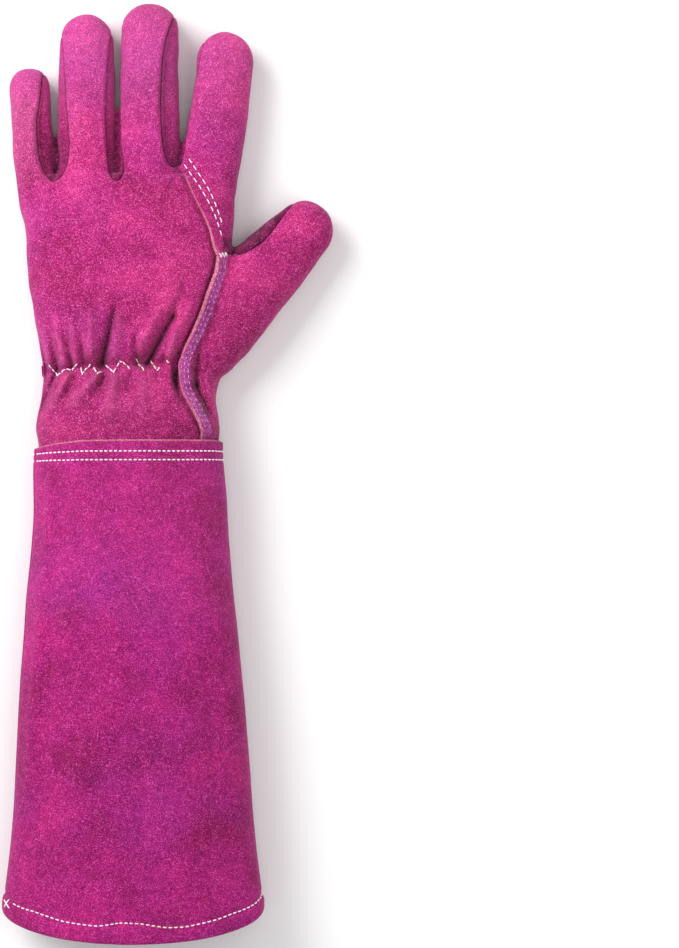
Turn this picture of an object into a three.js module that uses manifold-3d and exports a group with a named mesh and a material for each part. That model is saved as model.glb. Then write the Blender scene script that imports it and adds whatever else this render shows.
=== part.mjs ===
// A long suede gauntlet for pruning roses, left hand, lying palm down.
// Every panel is a suede wall of its own, cut from one hollow form along the seams of the real glove.
// Plan: x to the thumb side, y to the fingertips, from the middle of the cuff's upper edge.
// z is up from the surface.
import * as THREE from 'three';
import { mergeVertices } from 'three/addons/utils/BufferGeometryUtils.js';
import Module from 'manifold-3d';

const wasm = await Module();
wasm.setup();

// Driving dimensions, in millimetres and degrees
const WALL = 1.4;
const SEAM_GAP = 0.3;
const KNUCKLE_WIDTH = 105.4;
const PALM_LENGTH = 124;
const PALM_DEPTH = 36;
const FINGER_LENGTH = 85;
const FINGER_WIDTH = 27.6;
const FINGER_DEPTH = 24;
const THUMB_LENGTH = 97;
const THUMB_WIDTH = 36;
const THUMB_DEPTH = 27;
const THUMB_ANGLE = 51.6;
const CUFF_LENGTH = 241;
const CUFF_TOP_WIDTH = 90;
const CUFF_TOP_DEPTH = 41;
const CUFF_LAP = 12;
const LAP_CLEARANCE = 0.5;
const HEM_WIDTH = 125.6;
const HEM_DEPTH = 50;
const HEM_SAG = 20;
const HEM_FOLD = 8;
const FINGER_SEAM_HEIGHT = 7;
const THUMB_SEAM_HEIGHT = 9;
const CUFF_SEAM_THUMB_SIDE = 10;
const CUFF_SEAM_LITTLE_SIDE = 24;
const WELT_WIDTH = 2.2;
const GATHERS = 7;
const GATHER_DEPTH = 2;
const CROTCH_RADIUS = 3.4;
const LAP_STEP = 1.8; // past the cuff's edge, where the hand is at its full size again
const FRONT_MARGIN = 0.4; // of the two fronts, past the outer sides of their fingers
const RING_FRONT_REACH = 1; // of the ring finger's front, into the slit beside the middle finger
const MIDDLE_FRONT_REACH = 3; // of the middle finger's front, into the slit beside the ring finger

// Facets round each kind of form, outside and inside
const FACETS_PER_GATHER = 8;
const HAND_SIDES = { outer: FACETS_PER_GATHER * GATHERS, inner: 36 };
const FINGER_SIDES = { outer: 16, inner: 12 };
const THUMB_SIDES = { outer: 20, inner: 14 };
const CUFF_SIDES = { outer: 40, inner: 36 };

// Roundness of a section above and below its middle: 2 is an ellipse, more is squarer
const CROWN = 2.3;
const BELLY = 2.8;
const MIDDLE_HEIGHT = 0.46; // of the section's height
const PRESSED = 1.1; // how far the belly would reach if the surface didn't press it flat

// Hand sections. along: share of PALM_LENGTH from the cuff's edge. left, right: shares of KNUCKLE_WIDTH.
// top, lift: shares of PALM_DEPTH. gather: share of GATHER_DEPTH that ripples the back.
const HAND_SECTIONS = [
  { along: 0.03, left: -0.427, right: 0.413, top: 1.13, lift: 0, gather: 0.1 },
  { along: 0.09, left: -0.418, right: 0.4, top: 1.12, lift: 0, gather: 0.25 },
  { along: 0.16, left: -0.405, right: 0.391, top: 1.03, lift: 0, gather: 0.5 },
  { along: 0.23, left: -0.395, right: 0.4, top: 0.9, lift: 0, gather: 0.85 },
  { along: 0.285, left: -0.396, right: 0.41, top: 0.81, lift: 0, gather: 1 },
  { along: 0.34, left: -0.405, right: 0.414, top: 0.88, lift: 0, gather: 0.9 },
  { along: 0.43, left: -0.425, right: 0.42, top: 0.96, lift: 0, gather: 0.45 },
  { along: 0.56, left: -0.455, right: 0.432, top: 1, lift: 0, gather: 0 },
  { along: 0.73, left: -0.48, right: 0.457, top: 1, lift: 0, gather: 0 },
  { along: 0.86, left: -0.493, right: 0.468, top: 0.95, lift: 0, gather: 0 },
  { along: 0.93, left: -0.505, right: 0.478, top: 0.86, lift: 0.03, gather: 0 },
  { along: 0.975, left: -0.513, right: 0.483, top: 0.77, lift: 0.06, gather: 0 },
  { along: 1.005, left: -0.505, right: 0.475, top: 0.68, lift: 0.09, gather: 0 },
];

// Fingers. x: shares of KNUCKLE_WIDTH at the root, half way and tip. rootY: share of PALM_LENGTH.
// reach: share of FINGER_LENGTH past the roots. widths: shares of FINGER_WIDTH, from the root to the tip.
// depth: share of FINGER_DEPTH. lift: share of FINGER_DEPTH that the underside is clear of the surface.
// seamLeft, seamRight: where the back's seams run, as shares of the half width at the root and at the tip.
const FINGERS = [
  {
    name: 'little', rootX: -0.395, midX: -0.436, tipX: -0.459, rootY: 0.82, reach: 0.635,
    widths: [0.84, 0.77, 0.735, 0.72], depth: 0.86, lift: 0.1, seamRight: [0.25, 0.7], seamLeft: [1, 1],
  },
  {
    name: 'ring', rootX: -0.186, midX: -0.202, tipX: -0.1955, rootY: 0.82, reach: 0.935,
    widths: [1.02, 1.01, 0.98, 0.96], depth: 0.98, lift: 0.07, seamRight: [0.7, 0.83], seamLeft: [0.7, 0.9],
  },
  {
    name: 'middle', rootX: 0.083, midX: 0.087, tipX: 0.089, rootY: 0.82, reach: 1,
    widths: [1.07, 1.06, 1.01, 1], depth: 1, lift: 0.06, seamRight: [0.5, 0.75], seamLeft: [0.95, 0.98],
  },
  {
    name: 'index', rootX: 0.303, midX: 0.389, tipX: 0.435, rootY: 0.84, reach: 0.829,
    widths: [1.12, 1.04, 0.97, 0.97], depth: 0.96, lift: 0.1, seamRight: [1, 1], seamLeft: [0.94, 0.96],
  },
];
// Height of a finger's back along its length, as shares of its depth
const FINGER_CROWN = [1.1, 1.06, 1.02, 0.97, 0.88];

// The bottoms of the three slits between the fingers, as shares of KNUCKLE_WIDTH and PALM_LENGTH
const CROTCHES = [
  { name: 'fourchette_little_ring', x: -0.325, y: 0.985 },
  { name: 'fourchette_ring_middle', x: -0.057, y: 0.985 },
  { name: 'fourchette_middle_index', x: 0.217, y: 0.985 },
];

// Thumb stations, along the line from its root to its tip. along, bow: shares of THUMB_LENGTH, bow to the
// finger side. width: share of THUMB_WIDTH. depth, lift: shares of THUMB_DEPTH.
const THUMB_ROOT = { x: 0.299, y: 0.262 };
const THUMB_STATIONS = [
  { along: 0.0, bow: 0, width: 0.55, depth: 0.75, lift: 0.3 },
  { along: 0.06, bow: 0.014, width: 0.78, depth: 0.95, lift: 0.12 },
  { along: 0.14, bow: 0.036, width: 0.92, depth: 1.02, lift: 0.03 },
  { along: 0.355, bow: 0.056, width: 1, depth: 1.06, lift: 0.02 },
  { along: 0.567, bow: 0.05, width: 0.97, depth: 1, lift: 0.03 },
  { along: 0.725, bow: 0.031, width: 0.87, depth: 0.93, lift: 0.05 },
  { along: 0.87, bow: 0.015, width: 0.74, depth: 0.84, lift: 0.08 },
];

// The lapped seam on the back: from the slit beside the middle finger to the bar tack at the thumb,
// then down to the cuff. Shares of KNUCKLE_WIDTH and PALM_LENGTH.
const LAPPED_SEAM = [
  { x: 0.217, y: 1.03 },
  { x: 0.226, y: 1.0 },
  { x: 0.262, y: 0.97 },
  { x: 0.299, y: 0.923 },
  { x: 0.339, y: 0.858 },
  { x: 0.368, y: 0.798 },
  { x: 0.395, y: 0.71 },
  { x: 0.388, y: 0.65 },
  { x: 0.357, y: 0.581 },
  { x: 0.324, y: 0.49 },
  { x: 0.281, y: 0.406 },
  { x: 0.244, y: 0.347 },
  { x: 0.224, y: 0.289 },
  { x: 0.23, y: 0.2 },
  { x: 0.27, y: 0.13 },
  { x: 0.305, y: 0.08 },
  { x: 0.33, y: 0.006 },
];
const BAR_TACK = 6; // row of LAPPED_SEAM
const THUMB_CROTCH = { x: 0.468, y: 0.75 };
const THUMB_CLEAR = { x: 0.77, y: 1.04 }; // past the crotch, between the index finger and the thumb

// The seam under the thumb, from its tip to the cuff. Shares of KNUCKLE_WIDTH and PALM_LENGTH.
const THUMB_UNDER_SEAM = [
  { x: 0.9, y: 0.86 },
  { x: 0.85, y: 0.74 },
  { x: 0.79, y: 0.676 },
  { x: 0.683, y: 0.546 },
  { x: 0.602, y: 0.454 },
  { x: 0.48, y: 0.338 },
  { x: 0.37, y: 0.212 },
  { x: 0.33, y: 0.13 },
  { x: 0.305, y: 0.0 },
];

// The seam that sets in the fronts of the two middle fingers. Shares of KNUCKLE_WIDTH and PALM_LENGTH.
const SET_IN_SEAM = [
  { x: -0.36, y: 0.985 },
  { x: -0.335, y: 0.985 },
  { x: -0.24, y: 0.935 },
  { x: -0.17, y: 0.923 },
  { x: -0.055, y: 0.957 },
  { x: 0.05, y: 0.935 },
  { x: 0.17, y: 0.93 },
  { x: 0.212, y: 0.948 },
  { x: 0.24, y: 0.985 },
  { x: 0.24, y: 1.03 },
  { x: 0.24, y: 1.2 },
];
const WELT_ROWS = [1, 8]; // of SET_IN_SEAM, that the welt lies between

// Cuff sections. along: share of CUFF_LENGTH without the sag. flare: share of the widening to the hem.
// sag: share of HEM_SAG that the middle of the front and back hangs lower than the side seams.
const CUFF_SECTIONS = [
  { along: 0, flare: 0, sag: -0.03 },
  { along: 0.17, flare: 0.11, sag: 0.01 },
  { along: 0.38, flare: 0.3, sag: 0.09 },
  { along: 0.58, flare: 0.51, sag: 0.27 },
  { along: 0.78, flare: 0.73, sag: 0.58 },
  { along: 0.964, flare: 0.965, sag: 0.95 },
  { along: 1, flare: 1, sag: 1 },
];
const CUFF_SWAY = 0.02; // of HEM_WIDTH, to the thumb side at the hem

const suede = (color) => new THREE.MeshStandardMaterial({ color, roughness: 0.95, metalness: 0 });
const MATERIALS = {
  hand: suede('#c53b87'),
  inset: suede('#b73580'),
  cuff: suede('#b7317f'),
  welt: suede('#c9688f'),
};

// Solids

function toSolid(geometry) {
  const bare = geometry.clone();
  bare.deleteAttribute('normal');
  bare.deleteAttribute('uv');
  const merged = mergeVertices(bare, 1e-4);
  return new wasm.Manifold(
    new wasm.Mesh({
      numProp: 3,
      vertProperties: Float32Array.from(merged.attributes.position.array),
      triVerts: Uint32Array.from(merged.index.array),
    }),
  );
}

function toGeometry(solid) {
  const { vertProperties, triVerts, numProp } = solid.getMesh();
  const points = new Float32Array((vertProperties.length / numProp) * 3);
  for (let i = 0; i < points.length / 3; i++) {
    points.set(vertProperties.subarray(i * numProp, i * numProp + 3), i * 3);
  }
  const geometry = new THREE.BufferGeometry();
  geometry.setAttribute('position', new THREE.BufferAttribute(points, 3));
  geometry.setIndex(new THREE.BufferAttribute(triVerts, 1));
  return geometry;
}

// Closes rings of equally many points into one body, with a fan at each end.
function loft(rings) {
  const sides = rings[0].length;
  const points = rings.flat();
  const faces = [];
  const middle = (ring) => ring.reduce((sum, p) => sum.add(p), new THREE.Vector3()).divideScalar(sides);
  points.push(middle(rings[0]), middle(rings.at(-1)));
  const last = (rings.length - 1) * sides;
  for (let j = 0; j < sides; j++) {
    const next = (j + 1) % sides;
    for (let i = 0; i < last; i += sides) {
      faces.push(i + j, i + sides + j, i + next, i + sides + j, i + sides + next, i + next);
    }
    faces.push(points.length - 2, j, next, points.length - 1, last + next, last + j);
  }
  const geometry = new THREE.BufferGeometry().setFromPoints(points);
  geometry.setIndex(faces);
  return toSolid(geometry);
}

// A section across a form. across: the plan direction to its right. rise: lifts the top at a share of the turn
// round the section, from its right. shift: moves a point along the form, from how far out to the side it is.
function sectionRing({ centre, across, half, floor, top, sides, crown = CROWN, rise = () => 0, shift = () => 0 }) {
  const middle = floor + (top - floor) * MIDDLE_HEIGHT;
  const forward = new THREE.Vector2(-across.y, across.x);
  return Array.from({ length: sides }, (_, i) => {
    const turn = i / sides;
    const angle = turn * 2 * Math.PI;
    const [c, s] = [Math.cos(angle), Math.sin(angle)];
    const power = 2 / (s >= 0 ? crown : BELLY);
    const out = Math.sign(c) * Math.abs(c) ** power;
    const up = Math.abs(s) ** power;
    const z = s >= 0
      ? middle + (top - middle) * up + rise(turn) * up
      : Math.max(floor, middle - (middle - floor) * PRESSED * up);
    const along = shift(out);
    return new THREE.Vector3(
      centre.x + across.x * out * half + forward.x * along,
      centre.y + across.y * out * half + forward.y * along,
      z,
    );
  });
}

// A plan outline raised between two heights
function prism(outline, low, high) {
  const shape = new THREE.Shape(outline.map(({ x, y }) => new THREE.Vector2(x, y)));
  const geometry = new THREE.ExtrudeGeometry(shape, { depth: high - low, bevelEnabled: false });
  return toSolid(geometry.translate(0, 0, low));
}

// Hand

const inPlan = ({ x, y }) => new THREE.Vector2(x * KNUCKLE_WIDTH, y * PALM_LENGTH);
const ABOVE = 4 * PALM_DEPTH; // clear of everything, up and sideways
const RIGHT = new THREE.Vector2(1, 0);

function handForm(inset) {
  const inner = inset > 0;
  const ring = ({ along, left, right, top, lift, gather }, y, tuck) => {
    const fullest = top * PALM_DEPTH - inset - tuck;
    return sectionRing({
      centre: new THREE.Vector2(((left + right) / 2) * KNUCKLE_WIDTH, y),
      across: RIGHT,
      half: ((right - left) / 2) * KNUCKLE_WIDTH - inset - tuck,
      floor: lift * PALM_DEPTH + inset + tuck,
      top: inner ? fullest - gather * GATHER_DEPTH : fullest,
      sides: inner ? HAND_SIDES.inner : HAND_SIDES.outer,
      rise: (turn) => (inner ? 0 : -gather * GATHER_DEPTH * (0.5 + 0.5 * Math.cos(turn * 4 * GATHERS * Math.PI))),
    });
  };
  const wrist = HAND_SECTIONS[0];
  const tuck = WALL + LAP_CLEARANCE;
  const fingerEnd = HAND_SECTIONS.length - 1;
  return loft([
    ring(wrist, -CUFF_LAP - inset, tuck), // the inner form runs out through the wrist end
    ring(wrist, LAP_STEP, tuck),
    ...HAND_SECTIONS.map((row, i) => ring(row, row.along * PALM_LENGTH - (i === fingerEnd ? inset : 0), 0)),
  ]);
}

// Fingers

const FINGER_BODY = [0.14, 0.36, 0.6]; // shares of the length, between the root and the round tip
const ROOT_NARROWING = 0.75; // keeps the root inside the hand
const TIP_TURNS = [0, 28, 52, 70, 83]; // degrees round the tip, from its side to its end
const TIP_LENGTH = 0.5; // of the width

const spread = (values, share) => {
  const at = Math.min(Math.max(share, 0), 1) * (values.length - 1);
  const low = Math.min(Math.floor(at), values.length - 2);
  return THREE.MathUtils.lerp(values[low], values[low + 1], at - low);
};

function fingerPath(finger) {
  const root = inPlan({ x: finger.rootX, y: finger.rootY });
  const tip = new THREE.Vector2(finger.tipX * KNUCKLE_WIDTH, PALM_LENGTH + finger.reach * FINGER_LENGTH);
  const middle = new THREE.Vector2(finger.midX * KNUCKLE_WIDTH, (root.y + tip.y) / 2);
  const control = middle.multiplyScalar(2).addScaledVector(root, -0.5).addScaledVector(tip, -0.5);
  return new THREE.QuadraticBezierCurve(root, control, tip);
}

const halfWidth = (finger, share) => (FINGER_WIDTH / 2) * spread(finger.widths, share);

// The plan direction to the right of a path
const acrossAt = (path, share) => {
  const forward = path.getTangentAt(share);
  return new THREE.Vector2(forward.y, -forward.x);
};

function fingerForm(finger, inset) {
  const path = fingerPath(finger);
  const length = path.getLength();
  const depth = finger.depth * FINGER_DEPTH;
  const tip = TIP_LENGTH * finger.widths.at(-1) * FINGER_WIDTH;
  const ring = (share, narrowing) => {
    const top = spread(FINGER_CROWN, share) * depth;
    const floor = finger.lift * FINGER_DEPTH;
    const middle = floor + (top - floor) * MIDDLE_HEIGHT;
    return sectionRing({
      centre: path.getPointAt(share),
      across: acrossAt(path, share),
      half: (halfWidth(finger, share) - inset) * narrowing,
      floor: THREE.MathUtils.lerp(middle, floor + inset, narrowing),
      top: THREE.MathUtils.lerp(middle, top - inset, narrowing),
      sides: inset > 0 ? FINGER_SIDES.inner : FINGER_SIDES.outer,
    });
  };
  const reach = tip - inset;
  const start = 1 - tip / length;
  const body = FINGER_BODY.filter((share) => share < start - 0.05).map((share) => ring(share, 1));
  const end = TIP_TURNS.map((turn) => {
    const angle = THREE.MathUtils.degToRad(turn);
    return ring(start + (reach * Math.sin(angle)) / length, Math.cos(angle));
  });
  return loft([ring(0, ROOT_NARROWING), ...body, ...end]);
}

// A line beside a finger, off shares of its half width, from its root to past its tip
function besideFinger(finger, offRoot, offTip, extra = 0) {
  const path = fingerPath(finger);
  const steps = 16;
  const line = Array.from({ length: steps + 1 }, (_, i) => {
    const share = i / steps;
    const off = THREE.MathUtils.lerp(offRoot, offTip, share) * halfWidth(finger, share) + extra;
    return path.getPointAt(share).addScaledVector(acrossAt(path, share), off);
  });
  const beyond = path.getTangentAt(1).multiplyScalar(FINGER_LENGTH / 2);
  return [...line, line.at(-1).clone().add(beyond)];
}

// Thumb

function thumbStations() {
  const angle = THREE.MathUtils.degToRad(THUMB_ANGLE);
  const forward = new THREE.Vector2(Math.cos(angle), Math.sin(angle));
  const sideways = new THREE.Vector2(-forward.y, forward.x);
  const root = inPlan(THUMB_ROOT);
  return THUMB_STATIONS.map((row) => ({
    ...row,
    point: root
      .clone()
      .addScaledVector(forward, row.along * THUMB_LENGTH)
      .addScaledVector(sideways, row.bow * THUMB_LENGTH),
  }));
}

function thumbForm(inset) {
  const stations = thumbStations();
  const last = stations.at(-1);
  const path = new THREE.SplineCurve(stations.map(({ point }) => point));
  const ring = (row, point, across, narrowing = 1) => {
    const top = row.depth * THUMB_DEPTH;
    const floor = row.lift * THUMB_DEPTH;
    const middle = floor + (top - floor) * MIDDLE_HEIGHT;
    return sectionRing({
      centre: point,
      across,
      half: ((row.width * THUMB_WIDTH) / 2 - inset) * narrowing,
      floor: THREE.MathUtils.lerp(middle, floor + inset, narrowing),
      top: THREE.MathUtils.lerp(middle, top - inset, narrowing),
      sides: inset > 0 ? THUMB_SIDES.inner : THUMB_SIDES.outer,
    });
  };
  const body = stations.map((row, i) => {
    const forward = path.getTangent(i / (stations.length - 1));
    return ring(row, row.point, new THREE.Vector2(forward.y, -forward.x));
  });
  const forward = path.getTangent(1);
  const across = new THREE.Vector2(forward.y, -forward.x);
  const reach = (last.width * THUMB_WIDTH) / 2 - inset;
  const end = TIP_TURNS.slice(1).map((turn) => {
    const angle = THREE.MathUtils.degToRad(turn);
    return ring(last, last.point.clone().addScaledVector(forward, reach * Math.sin(angle)), across, Math.cos(angle));
  });
  return loft([...body, ...end]);
}

// Seam regions. grow widens a region all round, so that what is left keeps the seam's gap.

// The slit between two fingers, with its round end
function slitRegion(index, grow) {
  const [nearer, farther] = [FINGERS[index], FINGERS[index + 1]];
  const crotch = inPlan(CROTCHES[index]);
  const above = (p) => p.y > crotch.y + 3 * CROTCH_RADIUS;
  const left = besideFinger(nearer, ...nearer.seamRight, -grow).filter(above).reverse();
  const right = besideFinger(farther, -farther.seamLeft[0], -farther.seamLeft[1], grow).filter(above);
  const round = [
    new THREE.Vector2(crotch.x - CROTCH_RADIUS - grow, crotch.y + CROTCH_RADIUS),
    new THREE.Vector2(crotch.x - 0.9 * CROTCH_RADIUS - grow, crotch.y - grow),
    new THREE.Vector2(crotch.x + 0.9 * CROTCH_RADIUS + grow, crotch.y - grow),
    new THREE.Vector2(crotch.x + CROTCH_RADIUS + grow, crotch.y + CROTCH_RADIUS),
  ];
  return prism([...left, ...round, ...right], FINGER_SEAM_HEIGHT - grow, ABOVE);
}

const corner = (x, y) => new THREE.Vector2(x, y);
const FAR_TIP = PALM_LENGTH + 2 * FINGER_LENGTH;
const BELOW_WRIST = -2 * CUFF_LAP;

// Moves a line to the left of its travel by the same distance all along.
function offsetLine(line, by) {
  const normals = line.slice(1).map((p, i) => {
    const along = p.clone().sub(line[i]).normalize();
    return corner(-along.y, along.x);
  });
  return line.map((p, i) => {
    const before = normals[Math.max(i - 1, 0)];
    const after = normals[Math.min(i, normals.length - 1)];
    const mitre = before.clone().add(after).normalize();
    return p.clone().addScaledVector(mitre, by / mitre.dot(after));
  });
}

// The back of the hand and of three fingers, left of the lapped seam
function backRegion(grow) {
  const seam = offsetLine(LAPPED_SEAM.map(inPlan), grow);
  const wrist = seam.at(-1);
  const slit = besideFinger(FINGERS[2], 1, 1).at(-1);
  const outline = [
    corner(-2 * KNUCKLE_WIDTH, BELOW_WRIST),
    corner(wrist.x, BELOW_WRIST),
    ...seam.reverse(),
    corner(slit.x + grow, FAR_TIP),
    corner(-2 * KNUCKLE_WIDTH, FAR_TIP),
  ];
  // The palm's wall rises past the finger seams beside the thumb, and stays out of the back there.
  const besideThumb = prism(
    [corner(0, BELOW_WRIST), corner(KNUCKLE_WIDTH, BELOW_WRIST), corner(KNUCKLE_WIDTH, PALM_LENGTH / 2),
      corner(0, PALM_LENGTH / 2)],
    -ABOVE,
    PALM_DEPTH / 2,
  );
  return prism(outline, FINGER_SEAM_HEIGHT - grow, ABOVE).subtract(besideThumb);
}

// The back of the thumb, lapped over the hand's back, with the strip that turns in under the thumb
function thumbRegion(grow) {
  const edge = 2 * KNUCKLE_WIDTH;
  const seam = [inPlan(THUMB_CLEAR), inPlan(THUMB_CROTCH), ...LAPPED_SEAM.slice(BAR_TACK).map(inPlan)];
  const over = offsetLine(seam, -grow);
  const under = offsetLine(THUMB_UNDER_SEAM.map(inPlan), -grow);
  const outline = (line) => [
    ...line,
    corner(line.at(-1).x, BELOW_WRIST),
    corner(edge, BELOW_WRIST),
    corner(edge, line[0].y),
  ];
  const top = prism(outline(over), THUMB_SEAM_HEIGHT - grow, ABOVE);
  return top.add(prism(outline(under), -ABOVE, THUMB_SEAM_HEIGHT + SEAM_GAP));
}

// Everything on the palm side past the set-in seam, towards the fingertips, with the seam moved by a distance
function pastSetInSeam(by) {
  const line = SET_IN_SEAM.map(inPlan);
  const seam = offsetLine(line, by);
  const outline = [
    corner(line[0].x, FAR_TIP),
    corner(line[0].x, seam[0].y),
    ...seam,
    corner(line.at(-1).x, seam.at(-1).y),
    corner(line.at(-1).x, FAR_TIP),
  ];
  return prism(outline, -ABOVE, FINGER_SEAM_HEIGHT + SEAM_GAP);
}

// The front of a finger, with the slack on either side of it
function frontRegion(finger, leftSlack, rightSlack, grow) {
  const left = besideFinger(finger, -1, -1, -leftSlack - grow);
  const right = besideFinger(finger, 1, 1, rightSlack + grow);
  const front = prism([...left, ...right.reverse()], -ABOVE, FINGER_SEAM_HEIGHT + grow);
  return front.intersect(pastSetInSeam(WELT_WIDTH / 2 + SEAM_GAP - grow));
}

// The band along the set-in seam, short of the seam's ends
function weltRegion(grow) {
  const start = inPlan(SET_IN_SEAM[WELT_ROWS[0]]).x - grow;
  const end = inPlan(SET_IN_SEAM[WELT_ROWS[1]]).y + grow;
  const reach = prism(
    [corner(start, 0), corner(KNUCKLE_WIDTH, 0), corner(KNUCKLE_WIDTH, end), corner(start, end)],
    -ABOVE,
    FINGER_SEAM_HEIGHT + grow,
  );
  const band = pastSetInSeam(-WELT_WIDTH / 2 - grow).subtract(pastSetInSeam(WELT_WIDTH / 2 + grow));
  return band.intersect(reach);
}

// Cuff

function cuffForm(inset, overrun, sides) {
  const straight = CUFF_LENGTH - HEM_SAG;
  const rows = CUFF_SECTIONS.map((row, i) => ({
    ...row,
    y: -row.along * straight + (i === 0 ? overrun : 0) - (i === CUFF_SECTIONS.length - 1 ? overrun : 0),
  }));
  return loft(
    rows
      .reverse()
      .map(({ along, flare, sag, y }) =>
        sectionRing({
          centre: corner(along * CUFF_SWAY * HEM_WIDTH, y),
          across: RIGHT,
          half: THREE.MathUtils.lerp(CUFF_TOP_WIDTH, HEM_WIDTH, flare) / 2 - inset(along),
          floor: inset(along),
          top: THREE.MathUtils.lerp(CUFF_TOP_DEPTH, HEM_DEPTH, flare) - inset(along),
          sides,
          shift: (out) => -sag * HEM_SAG * (1 - out ** 4),
        }),
      ),
  );
}

// Everything below the line between the two side seams
function belowSideSeams(by) {
  const reach = HEM_WIDTH;
  const slope = (CUFF_SEAM_THUMB_SIDE - CUFF_SEAM_LITTLE_SIDE) / HEM_WIDTH;
  const height = (x) => (CUFF_SEAM_THUMB_SIDE + CUFF_SEAM_LITTLE_SIDE) / 2 + slope * x + by;
  const shape = new THREE.Shape([
    corner(-reach, -ABOVE),
    corner(reach, -ABOVE),
    corner(reach, height(reach)),
    corner(-reach, height(-reach)),
  ]);
  const length = 2 * CUFF_LENGTH;
  const geometry = new THREE.ExtrudeGeometry(shape, { depth: length, bevelEnabled: false });
  return toSolid(geometry.rotateX(Math.PI / 2).translate(0, length / 4, 0));
}

// Assembly

const pieces = [];
const add = (name, solid, material) => pieces.push({ name, solid, material });
const union = (solids) => solids.reduce((sum, solid) => sum.add(solid));
const glove = (inset) => union([handForm(inset), ...FINGERS.map((f) => fingerForm(f, inset)), thumbForm(inset)]);

let skin = glove(0).subtract(glove(WALL));
function takeFromSkin(name, region, material) {
  add(name, skin.intersect(region(0)), material);
  skin = skin.subtract(region(SEAM_GAP));
}

CROTCHES.forEach(({ name }, i) => takeFromSkin(name, (grow) => slitRegion(i, grow), MATERIALS.inset));
takeFromSkin('back_panel', backRegion, MATERIALS.hand);
takeFromSkin('thumb_back', thumbRegion, MATERIALS.hand);
const [, ring, middle] = FINGERS;
const ringFront = (grow) => frontRegion(ring, FRONT_MARGIN, RING_FRONT_REACH, grow);
const middleFront = (grow) => frontRegion(middle, MIDDLE_FRONT_REACH, FRONT_MARGIN, grow);
takeFromSkin('ring_front', ringFront, MATERIALS.inset);
takeFromSkin('middle_front', middleFront, MATERIALS.inset);
takeFromSkin('palm_welt', weltRegion, MATERIALS.welt);
add('palm_panel', skin, MATERIALS.hand);

const cuffOut = cuffForm(() => 0, 0, CUFF_SIDES.outer);
const hemStart = 1 - HEM_FOLD / (CUFF_LENGTH - HEM_SAG);
const cuffIn = cuffForm((along) => (along > hemStart ? 2 * WALL : WALL), CUFF_LAP / 4, CUFF_SIDES.inner);
const cuff = cuffOut.subtract(cuffIn);
add('cuff_front', cuff.intersect(belowSideSeams(-SEAM_GAP / 2)), MATERIALS.cuff);
add('cuff_back', cuff.subtract(belowSideSeams(SEAM_GAP / 2)), MATERIALS.cuff);

const gauntlet = new THREE.Group();
const box = new THREE.Box3();
for (const { name, solid, material } of pieces) {
  const mesh = new THREE.Mesh(toGeometry(solid), material);
  mesh.name = name;
  gauntlet.add(mesh);
  box.expandByObject(mesh);
}
// The origin is under the middle of the whole gauntlet, on the surface it lies on.
const centre = box.getCenter(new THREE.Vector3());
gauntlet.position.set(-centre.x, -centre.y, -box.min.z);

export default gauntlet;
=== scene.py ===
"""A long suede gauntlet for pruning roses, for the left hand, lying palm down on a white table."""
import math
import bpy
import numpy as np
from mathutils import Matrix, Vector
from mathutils.bvhtree import BVHTree
from mathutils.kdtree import KDTree


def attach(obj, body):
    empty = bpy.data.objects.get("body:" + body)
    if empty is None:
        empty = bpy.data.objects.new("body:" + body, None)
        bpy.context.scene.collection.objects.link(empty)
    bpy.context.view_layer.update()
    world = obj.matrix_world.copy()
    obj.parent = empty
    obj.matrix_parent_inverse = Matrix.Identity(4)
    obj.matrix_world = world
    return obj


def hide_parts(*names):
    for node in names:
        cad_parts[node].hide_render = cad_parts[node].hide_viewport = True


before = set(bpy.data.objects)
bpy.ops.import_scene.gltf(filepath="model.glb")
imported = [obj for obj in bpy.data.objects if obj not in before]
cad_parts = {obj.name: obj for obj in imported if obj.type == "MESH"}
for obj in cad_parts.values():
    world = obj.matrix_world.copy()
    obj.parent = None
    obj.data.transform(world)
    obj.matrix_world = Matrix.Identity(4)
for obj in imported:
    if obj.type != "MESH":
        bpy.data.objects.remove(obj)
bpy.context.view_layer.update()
bpy.ops.object.select_all(action="DESELECT")

# Camera
# The gauntlet is seen from straight above, fingertips up, and lies left of the middle of the picture.
PICTURE_MIDDLE = (0.0821, -0.0002)
CAMERA_HEIGHT = 4.0
# Level of the gauntlet's outline above the table, and the length that the picture takes in there
OUTLINE_HEIGHT = 0.018
PICTURE_HEIGHT = 0.4522


def placed(name, data):
    """Adds an object to the scene, at the origin."""
    piece = bpy.data.objects.new(name, data)
    bpy.context.collection.objects.link(piece)
    return piece


camera_data = bpy.data.cameras.new("camera")
camera_data.lens = camera_data.sensor_width * (CAMERA_HEIGHT - OUTLINE_HEIGHT) / PICTURE_HEIGHT
camera = placed("camera", camera_data)
camera.location = (*PICTURE_MIDDLE, CAMERA_HEIGHT)
bpy.context.scene.camera = camera


# Form of the hand
# The whole hand as one closed skin, which the panels are cut from along the real seams. Sizes are in
# millimetres in the plan of the glove: x to the thumb's side and y to the fingertips, from the middle of the
# cuff's upper edge.
ORIGIN = np.array([-17.86, 16.05, 0.0])

# How square the sections are above and below, how high they are widest, and how flat the table presses them
CROWN = 2.3
BELLY = 2.8
MIDDLE_HEIGHT = 0.46
PRESSED = 1.1
HAND_SIDES = 120
FINGER_SIDES = 56
THUMB_SIDES = 64
# The rounded ends of fingers and thumb are cut at these turns, from the side to the tip
TIP_TURNS = np.radians([12, 24, 35, 45, 54, 62, 69, 75, 80, 84, 87])


def unit(vectors):
    return vectors / np.maximum(np.linalg.norm(vectors, axis=-1, keepdims=True), 1e-12)


def smooth_step(low, high, value):
    t = np.clip((value - low) / (high - low), 0, 1)
    return t * t * (3 - 2 * t)


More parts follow.
